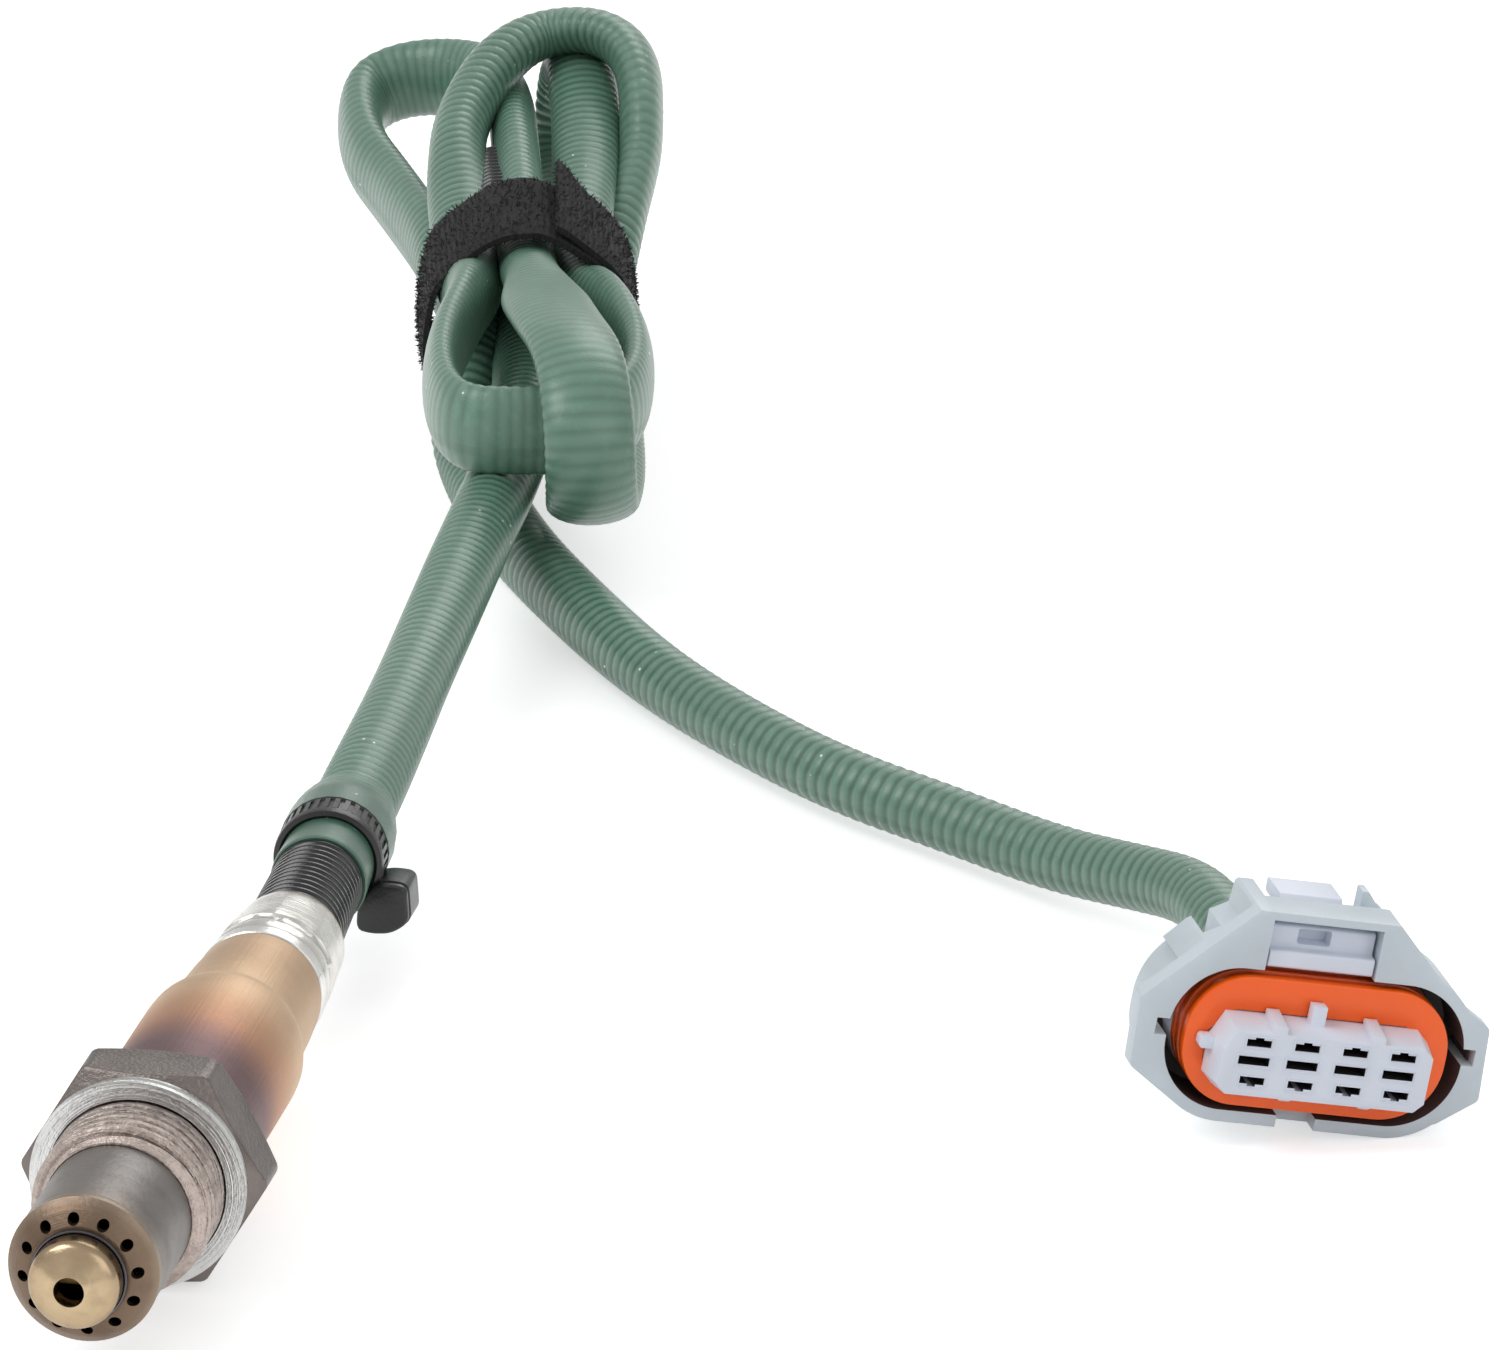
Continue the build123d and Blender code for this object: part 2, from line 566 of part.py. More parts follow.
with BuildPart() as connector_shell:
    with BuildSketch(facing(shell_front)) as outline:
        with BuildLine():
            Polyline(*shell_outline, close=True)
        make_face()
        fillet(outline.vertices().filter_by(lambda v: v.Y < 5), 0.8)
    extrude(amount=-flange_thick)
    with BuildSketch(facing(shell_front)):
        with Locations((0, mouth_centre_y)):
            RectangleRounded(*body_size, mouth_corner_r + shell_wall)
        for cheek in (wing, right_cheek):
            with BuildLine():
                Polyline(*cheek, close=True)
            make_face()
    extrude(amount=shell_rear - shell_front)
    with BuildSketch(facing(shell_front)):
        with BuildLine():
            Polyline(*roof, close=True)
        make_face()
    extrude(amount=-bridge_length)
    with BuildSketch(facing(shell_front)):
        with Locations((0, mouth_centre_y)):
            RectangleRounded(*mouth_size, mouth_corner_r)
        for side in (-1, 1):
            with Locations((side * mouth_size[0] / 2, 1.0)):
                Rectangle(2 * key_notch[0], key_notch[1])
    extrude(amount=cavity_floor - shell_front, mode=Mode.SUBTRACT)
    # open slot for the latch lever, under the bridge at the front and open above behind it
    with BuildSketch(facing(shell_front)):
        with Locations((slot_middle, mouth_centre_y)):
            Rectangle(slot_width, bridge_bottom - mouth_centre_y, align=(Align.CENTER, Align.MIN))
    extrude(amount=-hook_length, mode=Mode.SUBTRACT)
    with BuildSketch(facing(shell_front)):
        with Locations((slot_middle, slot_floor)):
            Rectangle(slot_width, bridge_bottom - slot_floor, align=(Align.CENTER, Align.MIN))
    extrude(amount=shell_rear - shell_front, mode=Mode.SUBTRACT)
    with BuildSketch(facing(shell_rear)):
        with BuildLine():
            Polyline(*horn, close=True)
        make_face()
    extrude(amount=horn_length)
    with BuildSketch(facing(shell_rear)):
        with BuildLine():
            Polyline(*lead_notch, close=True)
        make_face()
    extrude(amount=lead_notch_length, mode=Mode.SUBTRACT)
    # pivot sockets in the slot's two walls
    with BuildSketch(sideways(slot_middle)):
        with Locations(latch_pivot):
            Circle(pivot_r + SEAT_GAP)
    extrude(amount=slot_width / 2 + shell_wall, both=True, mode=Mode.SUBTRACT)
    # relief in the lower lip
    with BuildSketch(facing(shell_front)):
        with Locations((-0.4, mouth_centre_y - mouth_size[1] / 2)):
            Rectangle(lip_notch[0], lip_notch[1], align=(Align.CENTER, Align.MAX))
    extrude(amount=-lip_notch[1], mode=Mode.SUBTRACT)
connector_shell.part.label = "connector_shell"
export_step(connector_shell.part, "parts/connector_shell.step")

# ---------------------------------------------------------------- connector core with its contact cavities
core_base = (core_size[0] + 2 * core_flare, core_size[1] + 2 * core_flare)
base_chamfer = core_chamfer + core_flare / 2
seal_rear = seal_front - seal_length
face_top = core_size[1] / 2
base_top = core_base[1] / 2
rib_width = 1.4
rib_height = 0.7
block_front = -2.8
block_size = (1.5, 2.4)
tab_depth = 1.6
tab_size = (1.6, 1.3)
key_size = (2.6, 0.75)
key_bump = (0.9, 0.4)
key_offset = 2.05
with BuildPart() as connector_core:
    with BuildSketch(facing(0)) as core_face:
        with Locations((0, core_centre_y)):
            Rectangle(*core_size)
        chamfer(core_face.vertices(), core_chamfer)
    with BuildSketch(facing(-core_flare_length)) as core_root:
        with Locations((0, core_centre_y)):
            Rectangle(*core_base)
        chamfer(core_root.vertices(), base_chamfer)
    loft()
    # shank through the seal, then the oval foot behind it
    with BuildSketch(facing(-core_flare_length)) as shank:
        with Locations((0, core_centre_y)):
            Rectangle(*core_base)
        chamfer(shank.vertices(), base_chamfer)
    extrude(amount=seal_rear + core_flare_length)
    with BuildSketch(facing(seal_rear)):
        with Locations((0, mouth_centre_y)):
            RectangleRounded(*seal_size, seal_corner_r)
    extrude(amount=cavity_floor - seal_rear)
    # two guide ribs that follow the flare, the middle block and the tabs over the seal
    for x in (-5.5, 5.1):
        with BuildSketch(sideways(x)):
            with BuildLine():
                Polyline((0, core_centre_y + face_top - rib_height), (0, core_centre_y + face_top + rib_height),
                         (-core_flare_length, core_centre_y + base_top + rib_height),
                         (-core_flare_length, core_centre_y + base_top - rib_height), close=True)
            make_face()
        extrude(amount=rib_width / 2, both=True)
    with BuildSketch(facing(block_front)):
        with Locations((-0.9, core_centre_y + face_top)):
            Rectangle(*block_size, align=(Align.CENTER, Align.MIN))
    extrude(amount=-core_flare_length - block_front)
    with BuildSketch(facing(-core_flare_length)):
        with Locations((-2.8, core_centre_y - base_top), (5.8, core_centre_y - base_top)):
            RectangleRounded(*tab_size, 0.4)
        with Locations((-core_base[0] / 2, 0.5)):
            RectangleRounded(2 * tab_size[1], tab_size[1], 0.4)
    extrude(amount=tab_depth)
    with BuildSketch(facing(0)):
        for x in contact_xs:
            with Locations((x, 0)):
                Rectangle(*slit)
            for level in (1, -1):
                with Locations((x + 0.2, level * key_offset - 0.1)):
                    Rectangle(*key_size)
                with Locations((x + 0.2, level * (key_offset + key_size[1] / 2) - 0.1)):
                    Rectangle(key_bump[0], 2 * key_bump[1])
    extrude(amount=-slit_depth, mode=Mode.SUBTRACT)
connector_core.part.label = "connector_core"
export_step(connector_core.part, "parts/connector_core.step")

# ---------------------------------------------------------------- contacts inside the slits
contact_size = (2.8, 0.5)
contact_recess = 2.2
for number, x in enumerate(contact_xs, start=1):
    with BuildPart() as terminal:
        with BuildSketch(facing(-slit_depth)):
            with Locations((x, 0)):
                Rectangle(*contact_size)
        extrude(amount=slit_depth - contact_recess)
    terminal.part.label = f"contact_terminal_{number}"
    export_step(terminal.part, f"parts/contact_terminal_{number}.step")

# ---------------------------------------------------------------- peripheral seal
with BuildPart() as seal_ring:
    with BuildSketch(facing(seal_rear)):
        with Locations((0, mouth_centre_y)):
            RectangleRounded(*seal_size, seal_corner_r)
    extrude(amount=seal_length)
    with BuildSketch(facing(seal_rear)) as seal_hole:
        with Locations((0, core_centre_y)):
            Rectangle(core_base[0] + FIT, core_base[1] + FIT)
        chamfer(seal_hole.vertices(), base_chamfer)
    extrude(amount=seal_length, mode=Mode.SUBTRACT)
    for groove in range(2):
        with BuildSketch(facing(seal_front - 1.6 - 1.8 * groove)):
            with Locations((0, mouth_centre_y)):
                RectangleRounded(seal_size[0] + 1, seal_size[1] + 1, seal_corner_r + 0.5)
                RectangleRounded(seal_size[0] - 1, seal_size[1] - 1, seal_corner_r - 0.5, mode=Mode.SUBTRACT)
        extrude(amount=-0.8, mode=Mode.SUBTRACT)
seal_ring.part.label = "seal_ring"
export_step(seal_ring.part, "parts/seal_ring.step")

# ---------------------------------------------------------------- rocking latch lever
lever_left, lever_right = latch_slot[0] + SEAT_GAP, latch_slot[1] - SEAT_GAP
lever_front = shell_front - SEAT_GAP
hook_rear = shell_front - hook_length + SEAT_GAP
hook_bottom = mouth_centre_y + mouth_size[1] / 2 + SEAT_GAP
lip_top = hook_bottom + 1.9
panel_front = lever_front - 1.4
plate_top = bridge_bottom - 0.9
arm_bottom = slot_floor + 0.8
arm_rear = latch_pivot[0] - 2.2
tab_front = shell_front - bridge_length - 1.4
tab_rear = shell_rear - 1.4
tab_top = plate_top + 1.8
tab_thick = 1.5
tab_sides = (-5.0, 1.8)     # the press tab is narrower than the lever
rear_right = 3.6            # the arm's right side beside the horn
window_size = (3.6, 1.7)
with BuildPart() as latch_lever:
    with BuildSketch(sideways(slot_middle)) as lever_side:
        with BuildLine():
            Polyline((lever_front, hook_bottom), (lever_front, lip_top), (panel_front, lip_top),
                     (panel_front, plate_top), (tab_front + 1.4, plate_top), (tab_front, tab_top),
                     (tab_rear, tab_top), (tab_rear, tab_top - tab_thick), (arm_rear, tab_top - tab_thick),
                     (arm_rear, arm_bottom), (hook_rear, arm_bottom), (hook_rear, hook_bottom), close=True)
        make_face()
        fillet(lever_side.vertices(), 0.35)
    extrude(amount=(lever_right - lever_left) / 2, both=True)
    with BuildSketch(sideways(slot_middle)):
        with Locations(latch_pivot):
            Circle(pivot_r)
    extrude(amount=slot_width / 2 + shell_wall - SEAT_GAP, both=True)
    with BuildSketch(facing(tab_front + 1.4)):
        with Locations((tab_sides[0], plate_top)):
            Rectangle(slot_width, slot_width, align=(Align.MAX, Align.MIN))
        with Locations((tab_sides[1], plate_top)):
            Rectangle(slot_width, slot_width, align=(Align.MIN, Align.MIN))
    extrude(amount=-slot_width, mode=Mode.SUBTRACT)
    with BuildSketch(facing(latch_pivot[0] - pivot_r - SEAT_GAP / 2)):
        with Locations((rear_right, slot_floor)):
            Rectangle(slot_width, slot_width, align=(Align.MIN, Align.MIN))
    extrude(amount=-slot_width, mode=Mode.SUBTRACT)
    with BuildSketch(facing(panel_front)):
        with Locations((-1.9, (lip_top + plate_top) / 2 + 0.1)):
            RectangleRounded(*window_size, 0.3)
    extrude(amount=-2.0, mode=Mode.SUBTRACT)
latch_lever.part.label = "latch_lever"
export_step(latch_lever.part, "parts/latch_lever.step")

# ---------------------------------------------------------------- rear cover that holds the lead
cover_size = (12.0, 9.0)
hood_r = lead_r + SEAT_GAP
hood_wall = 1.3
with BuildPart() as rear_cover:
    with BuildSketch(facing(shell_rear)):
        RectangleRounded(*cover_size, 2.0)
    extrude(amount=cover_rear - shell_rear)
    with BuildSketch(facing(cover_rear)):
        Circle(hood_r + hood_wall)
    extrude(amount=hood_rear - cover_rear)
rear_cover.part.label = "rear_cover"
export_step(rear_cover.part, "parts/rear_cover.step")
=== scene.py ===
"""Looks of an exhaust oxygen sensor whose ribbed lead is folded in a strapped hank.

Sizes are in millimetres in the part's own frame, with the sensing tip towards -Y and +Z up.
They become metres where a mesh is made.
"""
from __future__ import annotations

import logging
import math
from dataclasses import dataclass, field
from enum import Enum
from typing import Callable, Iterable, Sequence, Union

import bmesh
import bpy
import numpy as np
from mathutils import Matrix, Vector


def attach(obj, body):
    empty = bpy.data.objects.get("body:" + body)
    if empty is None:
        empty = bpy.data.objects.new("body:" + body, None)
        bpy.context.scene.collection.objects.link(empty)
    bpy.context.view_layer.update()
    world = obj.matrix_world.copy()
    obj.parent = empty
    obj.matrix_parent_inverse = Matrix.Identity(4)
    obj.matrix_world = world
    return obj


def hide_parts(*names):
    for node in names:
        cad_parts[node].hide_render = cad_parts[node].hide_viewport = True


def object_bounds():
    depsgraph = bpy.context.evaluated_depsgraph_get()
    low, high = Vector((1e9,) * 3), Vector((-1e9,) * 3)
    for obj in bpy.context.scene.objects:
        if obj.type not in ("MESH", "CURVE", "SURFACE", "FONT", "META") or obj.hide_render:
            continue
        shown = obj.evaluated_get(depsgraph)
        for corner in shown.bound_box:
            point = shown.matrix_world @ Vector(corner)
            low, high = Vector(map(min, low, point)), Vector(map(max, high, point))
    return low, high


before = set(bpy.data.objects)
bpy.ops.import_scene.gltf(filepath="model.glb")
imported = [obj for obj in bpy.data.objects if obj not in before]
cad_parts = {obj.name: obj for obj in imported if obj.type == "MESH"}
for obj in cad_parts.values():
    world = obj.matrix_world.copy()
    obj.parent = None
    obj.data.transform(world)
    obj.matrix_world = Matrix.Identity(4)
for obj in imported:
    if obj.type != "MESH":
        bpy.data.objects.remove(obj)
CAD_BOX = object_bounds()

LOG = logging.getLogger("oxygen_sensor")
MM = 0.001
SENSOR = "sensor"
LATCH = "latch"
FLOOR_Z = CAD_BOX[0].z
UNSCALED = (1.0, 1.0, 1.0)
Point = tuple[float, float, float]
Colour = tuple[float, float, float, float]
WHITE: Colour = (1.0, 1.0, 1.0, 1.0)


def srgb(red: int, green: int, blue: int) -> Colour:
    """Linear colour of a screen colour.

    Args:
        red: Red from 0 to 255.
        green: Green from 0 to 255.
        blue: Blue from 0 to 255.

    Returns:
        The linear colour with full alpha.
    """
    linear = []
    for value in (red, green, blue):
        share = value / 255
        linear.append(share / 12.92 if share <= 0.04045 else ((share + 0.055) / 1.055) ** 2.4)
    return (linear[0], linear[1], linear[2], 1.0)


def ramp(*stops: tuple[float, int, int, int]) -> tuple[tuple[float, Colour], ...]:
    """A colour ramp's stops, from places each with a screen colour."""
    return tuple((place, srgb(red, green, blue)) for place, red, green, blue in stops)


def full_turn(steps: int) -> np.ndarray:
    """Equal angles once round, from 0."""
    return np.linspace(0, 2 * math.pi, steps, endpoint=False)


def ease(low: float, high: float, value: np.ndarray | float) -> np.ndarray | float:
    """Smooth step of value between low and high."""
    share = np.clip((value - low) / (high - low), 0, 1)
    return share * share * (3 - 2 * share)


# ---------------------------------------------------------------- node graphs
class Wire:
    """A node's output on which Python's arithmetic adds Math nodes."""

    def __init__(self, graph: "NodeGraph", socket: bpy.types.NodeSocket) -> None:
        """Wraps socket, which belongs to graph."""
        self.graph = graph
        self.socket = socket

    def maths(self, operation: str, *others: "Value") -> "Wire":
        """Math node of that operation with this value first."""
        return self.graph.maths(operation, self, *others)

    def __add__(self, other: "Value") -> "Wire":
        """Sum."""
        return self.graph.maths("ADD", self, other)

    __radd__ = __add__

    def __mul__(self, other: "Value") -> "Wire":
        """Product."""
        return self.graph.maths("MULTIPLY", self, other)

    __rmul__ = __mul__

    def __sub__(self, other: "Value") -> "Wire":
        """Difference."""
        return self.graph.maths("SUBTRACT", self, other)

    def __rsub__(self, other: "Value") -> "Wire":
        """Difference, reflected."""
        return self.graph.maths("SUBTRACT", other, self)

    def __truediv__(self, other: "Value") -> "Wire":
        """Quotient."""
        return self.graph.maths("DIVIDE", self, other)

    def step(self, low: float, high: float) -> "Wire":
        """Smooth mask that rises from 0 at low to 1 at high."""
        made = self.graph.node("ShaderNodeMapRange", {"interpolation_type": "SMOOTHSTEP"},
                               {"Value": self, "From Min": low, "From Max": high})
        return made["Result"]


Value = Union[Wire, float, int, tuple, bpy.types.Object, bpy.types.Material, bool]


class Built:
    """A node whose outputs are read by name or number as wires."""

    def __init__(self, graph: "NodeGraph", node: bpy.types.Node) -> None:
        """Wraps node, which belongs to graph."""
        self.graph = graph
        self.node = node

    def __getitem__(self, key: str | int) -> Wire:
        """The output of that name or number."""
        return Wire(self.graph, self.node.outputs[key])


class NodeGraph:
    """A shader or geometry tree that is being built."""

    def __init__(self, tree: bpy.types.NodeTree) -> None:
        """Starts from tree with its nodes removed."""
        self.tree = tree
        tree.nodes.clear()

    def node(self, kind: str, settings: dict[str, object] | None = None,
             sockets: dict[str | int, Value] | None = None) -> Built:
        """Adds a node.

        Args:
            kind: The node's type name.
            settings: Its properties, set first. "stops" are a ramp's positions and colours.
            sockets: Values or wires for its inputs.

        Returns:
            The node, whose outputs are wires.
        """
        made = self.tree.nodes.new(kind)
        for key, value in (settings or {}).items():
            if key == "stops":
                elements = made.color_ramp.elements
                while len(elements) > 1:
                    elements.remove(elements[-1])
                for number, (place, colour) in enumerate(value):
                    element = elements[0] if number == 0 else elements.new(place)
                    element.position = place
                    element.color = colour
            else:
                setattr(made, key, value)
        for key, value in (sockets or {}).items():
            if isinstance(value, Wire):
                self.tree.links.new(value.socket, made.inputs[key])
            else:
                made.inputs[key].default_value = value
        return Built(self, made)

    def maths(self, operation: str, *values: Value) -> Wire:
        """Math node of that operation on values."""
        return self.node("ShaderNodeMath", {"operation": operation}, dict(enumerate(values)))["Value"]

    def mix(self, factor: Value, first: Value, second: Value) -> Wire:
        """Colour mix from first at factor 0 to second at factor 1."""
        return self.node("ShaderNodeMix", {"data_type": "RGBA"}, {0: factor, 6: first, 7: second})[2]

    def vector(self, x: Value = 0.0, y: Value = 0.0, z: Value = 0.0) -> Wire:
        """Vector of three values."""
        return self.node("ShaderNodeCombineXYZ", {}, {0: x, 1: y, 2: z})["Vector"]

    def parts(self, vector: Wire) -> tuple[Wire, Wire, Wire]:
        """X, Y and Z of a vector."""
        apart = self.node("ShaderNodeSeparateXYZ", {}, {0: vector})
        return apart["X"], apart["Y"], apart["Z"]

    def feed(self, socket: bpy.types.NodeSocket, value: Wire) -> None:
        """Links a wire to a shader's socket."""
        self.tree.links.new(value.socket, socket)

    def place(self, scale: Point = (1 / MM, 1 / MM, 1 / MM), uv: str | None = None) -> Wire:
        """Where the surface is.

        Args:
            scale: What each coordinate is multiplied by: metres to millimetres, unless given.
            uv: The UV map that is read, or None for Object coordinates.

        Returns:
            The scaled place.
        """
        if uv is None:
            source = self.node("ShaderNodeTexCoord")["Object"]
        else:
            source = self.node("ShaderNodeUVMap", {"uv_map": uv})["UV"]
        return self.node("ShaderNodeMapping", {}, {"Vector": source, "Scale": scale})["Vector"]

    def noise(self, place: Wire, scale: float, detail: float = 3.0, rough: float = 0.55) -> Wire:
        """Noise of about 0 to 1 on place."""
        made = self.node("ShaderNodeTexNoise", {}, {"Vector": place, "Scale": scale, "Detail": detail,
                                                    "Roughness": rough})
        return made["Fac"]

    def bump(self, height: Wire, depth: float, normal: Wire | None = None) -> Wire:
        """Normal of a relief of that height times depth, in millimetres."""
        sockets: dict[str | int, Value] = {"Height": height, "Distance": depth * MM, "Strength": 1.0}
        if normal is not None:
            sockets["Normal"] = normal
        return self.node("ShaderNodeBump", {}, sockets)["Normal"]


# ---------------------------------------------------------------- finishes
@dataclass(frozen=True)
class Finish:
    """A surface finish. Its material is made once, when it is first asked for."""

    name: str

    def material(self) -> bpy.types.Material:
        """The finish's material.

        Returns:
            The material, new or made before.
        """
        made = bpy.data.materials.get(self.name)
        if made is None:
            made = bpy.data.materials.new(self.name)
            made.use_nodes = True
            graph = NodeGraph(made.node_tree)
            shader = graph.node("ShaderNodeBsdfPrincipled")
            self.paint(graph, shader.node.inputs)
            graph.node("ShaderNodeOutputMaterial", {}, {"Surface": shader["BSDF"]})
        return made

    def paint(self, graph: NodeGraph, shader: bpy.types.NodeInputs) -> None:
        """Sets and links the shader's sockets.

        Args:
            graph: The material's graph.
            shader: The inputs of its one shader.
        """
        raise NotImplementedError

    def wear(self, piece: bpy.types.Object) -> None:
        """Gives piece this finish alone."""
        piece.data.materials.clear()
        piece.data.materials.append(self.material())


STAIN = (0.45, 0.42, 0.42, 1.0)
# Painted shade: a dark brown put in the thread's roots between its ridges, where shadow falls.
ROOT_SHADE = srgb(74, 64, 60)


def scaled(colour: Colour, share: float) -> Colour:
    """A colour with each channel times share, 1 at most."""
    red, green, blue = (min(1.0, channel * share) for channel in colour[:3])
    return (red, green, blue, 1.0)


@dataclass(frozen=True)
class Metal(Finish):
    """Turned, drawn or pressed metal whose colour may change along the sensor's axis."""

    tones: tuple[tuple[float, Colour], ...]
    span: tuple[float, float] = (0.0, 1.0)
    roughness: float = 0.3
    variation: float = 0.12
    mottle: float = 0.35
    mottle_scale: float = 0.25
    turned: float = 0.0
    drawn: float = 0.0
    pitting: float = 0.0
    drift: float = 0.0
    root_shade_radius: float = 0.0

    def paint(self, graph: NodeGraph, shader: bpy.types.NodeInputs) -> None:
        """Colour by place along Y, mottled, with painted shade in a thread's roots, turning rings, drawing lines and
        pits.
        """
        place = graph.place()
        x, y, z = graph.parts(place)
        cloud = graph.noise(place, self.mottle_scale, 4.0)
        angle = graph.maths("ARCTAN2", z, x)
        away = (x * x + z * z).maths("SQRT")
        low, high = self.span
        along = (y + (cloud - 0.5) * self.drift - low) / (high - low)
        tone = graph.node("ShaderNodeValToRGB", {"stops": self.tones}, {"Fac": along})["Color"]
        shade = graph.mix(1.0, tone, STAIN)
        shade.socket.node.blend_type = "MULTIPLY"
        colour = graph.mix(cloud.step(0.42, 0.78) * self.mottle, tone, shade)
        # Painted shade in the thread's roots, inside the given radius and behind the lead-in.
        if self.root_shade_radius:
            root_shade = (1.0 - away.step(self.root_shade_radius, self.root_shade_radius + 0.45)) * y.step(-7.5, -6.7) * 0.85
            colour = graph.mix(root_shade, colour, ROOT_SHADE)
        graph.feed(shader["Base Color"], colour)
        shader["Metallic"].default_value = 1.0
        fine = graph.noise(place, 2.2, 3.0)
        line = graph.noise(graph.vector(angle * 26.0, y * 0.05), 1.0, 2.0)
        ring = graph.noise(graph.vector(angle * 0.3, (y + away) * 5.0), 1.0, 2.0)
        rough = self.roughness + (cloud - 0.5) * self.variation + (fine - 0.5) * 0.1
        graph.feed(shader["Roughness"], rough)
        relief = ring * self.turned + line * self.drawn + fine * self.pitting
        graph.feed(shader["Normal"], graph.bump(relief, 0.12))


@dataclass(frozen=True)
class Plastic(Finish):
    """Moulded plastic, rubber or ceramic with a fine grain and slight flow marks."""

    colour: Colour
    roughness: float = 0.4
    grain: float = 0.03
    grain_scale: float = 3.0
    shift: float = 0.12
    clear: float = 0.0
    glow_through: float = 0.0

    def paint(self, graph: NodeGraph, shader: bpy.types.NodeInputs) -> None:
        """A slightly uneven colour with a fine moulded grain."""
        place = graph.place()
        cloud = graph.noise(place, 0.12, 3.0)
        fine = graph.noise(place, self.grain_scale, 3.0)
        dark, pale = scaled(self.colour, 1 - self.shift), scaled(self.colour, 1 + self.shift)
        graph.feed(shader["Base Color"], graph.mix(cloud.step(0.3, 0.7), dark, pale))
        graph.feed(shader["Roughness"], self.roughness + (cloud - 0.5) * 0.1 + (fine - 0.5) * 0.08)
        graph.feed(shader["Normal"], graph.bump(fine, self.grain))
        shader["Coat Weight"].default_value = self.clear
        shader["Coat Roughness"].default_value = 0.12
        shader["Subsurface Weight"].default_value = self.glow_through
        shader["Subsurface Radius"].default_value = (1.5 * MM, 1.2 * MM, 1.0 * MM)
        shader["Subsurface Scale"].default_value = 1.0


@dataclass(frozen=True)
class RibbedSkin(Finish):
    """The lead's satin skin, with painted shade between its ribs and dust caught on it."""

    crest: Colour
    valley_shade: Colour
    dust: Colour
    roughness: float = 0.4

    def paint(self, graph: NodeGraph, shader: bpy.types.NodeInputs) -> None:
        """Colour by the rib attribute, darker between the ribs as painted shade, with soft blotches, a leathery grain
        and dust specks.
        """
        skin, place = graph.place(UNSCALED, "skin"), graph.place()
        rib = graph.node("ShaderNodeAttribute", {"attribute_name": "rib"})["Fac"]
        cloud = graph.noise(place, 0.09, 3.0)
        patch = graph.noise(place, 0.45, 3.0)
        grain = graph.noise(skin, 3.4, 4.0, 0.65)
        # Painted shade: the valley colour darkens the skin between the ribs.
        base = graph.mix(rib.step(0.0, 0.9), self.valley_shade, self.crest)
        worn = graph.mix(cloud.step(0.35, 0.75) * 0.35, base, scaled(self.crest, 0.72))
        rubbed = graph.mix(patch.step(0.5, 0.8) * rib * 0.5, worn, scaled(self.crest, 1.45))
        dots = graph.node("ShaderNodeTexVoronoi", {"feature": "F1"}, {"Vector": place, "Scale": 0.45})["Distance"]
        chance = graph.noise(place, 0.3, 1.0)
        speck = (1.0 - dots.step(0.05, 0.1)) * chance.step(0.56, 0.6)
        graph.feed(shader["Base Color"], graph.mix(speck, rubbed, self.dust))
        graph.feed(shader["Roughness"], self.roughness + (cloud - 0.5) * 0.14 + (grain - 0.5) * 0.16)
        graph.feed(shader["Normal"], graph.bump(grain, 0.05))
        shader["Coat Weight"].default_value = 0.3
        shader["Coat Roughness"].default_value = 0.3


@dataclass(frozen=True)
class LoopPile(Finish):
    """Black napped textile with a faint weave and lint."""

    colour: Colour
    lint: Colour
    row_pitch: float = 0.8

    def paint(self, graph: NodeGraph, shader: bpy.types.NodeInputs) -> None:
        """Near black with grey fibre tips, rows and a deep soft relief."""
        skin, place = graph.place(UNSCALED, "skin"), graph.place()
        tangle = graph.noise(place, 3.2, 5.0, 0.7)
        clump = graph.noise(place, 0.7, 2.0)
        row = (graph.parts(skin)[0] * (2 * math.pi / self.row_pitch)).maths("SINE")
        tipped = tangle.step(0.5, 0.78) * (0.45 + row * 0.4)
        graph.feed(shader["Base Color"], graph.mix(tipped, self.colour, self.lint))
        graph.feed(shader["Roughness"], 0.85 + (clump - 0.5) * 0.2)
        graph.feed(shader["Normal"], graph.bump(tangle + clump * 0.6 + row * 0.5, 0.35))
        shader["Sheen Weight"].default_value = 0.04
        shader["Sheen Roughness"].default_value = 0.5


HEX_STEEL = Metal("hot_rolled_hex_steel", ramp((0.0, 124, 116, 112), (1.0, 110, 103, 99)), (1.8, 10.0),
                  0.42, 0.2, 0.5, 0.22, turned=0.25, pitting=1.0)
THREAD_STEEL = Metal("worn_thread_steel", ramp((0.0, 192, 178, 170), (1.0, 172, 161, 155)), (-9.2, 0.0),
                     0.36, 0.3, 0.6, 0.7, turned=0.9, pitting=1.7, root_shade_radius=8.15)
GASKET_STEEL = Metal("soft_gasket_steel", ramp((0.0, 212, 213, 212), (1.0, 196, 196, 193)), (0.2, 1.8),
                     0.3, 0.2, 0.22, 0.5, turned=0.6, pitting=0.6)
TIP_STEEL = Metal("heated_tip_steel", ramp((0.0, 112, 94, 78), (0.08, 126, 108, 92), (0.13, 146, 130, 114),
                                           (0.19, 136, 127, 119), (0.35, 128, 123, 119), (0.8, 130, 127, 124),
                                           (1.0, 136, 133, 130)),
                  (-24.2, -8.0), 0.44, 0.12, 0.35, 0.3, turned=0.35, pitting=0.4)
DOME_STEEL = Metal("straw_dome_steel", ramp((0.0, 196, 174, 140), (0.25, 180, 158, 128), (0.45, 150, 130, 104),
                                            (0.8, 118, 102, 84), (1.0, 96, 84, 72)),
                   (-28.6, -23.4), 0.25, 0.1, 0.4, 0.4, turned=0.1, pitting=0.12)
MOUTH_STEEL = Metal("blued_mouth_steel", ramp((0.0, 108, 107, 112), (1.0, 96, 94, 98)), (-24.6, -23.0), 0.35)
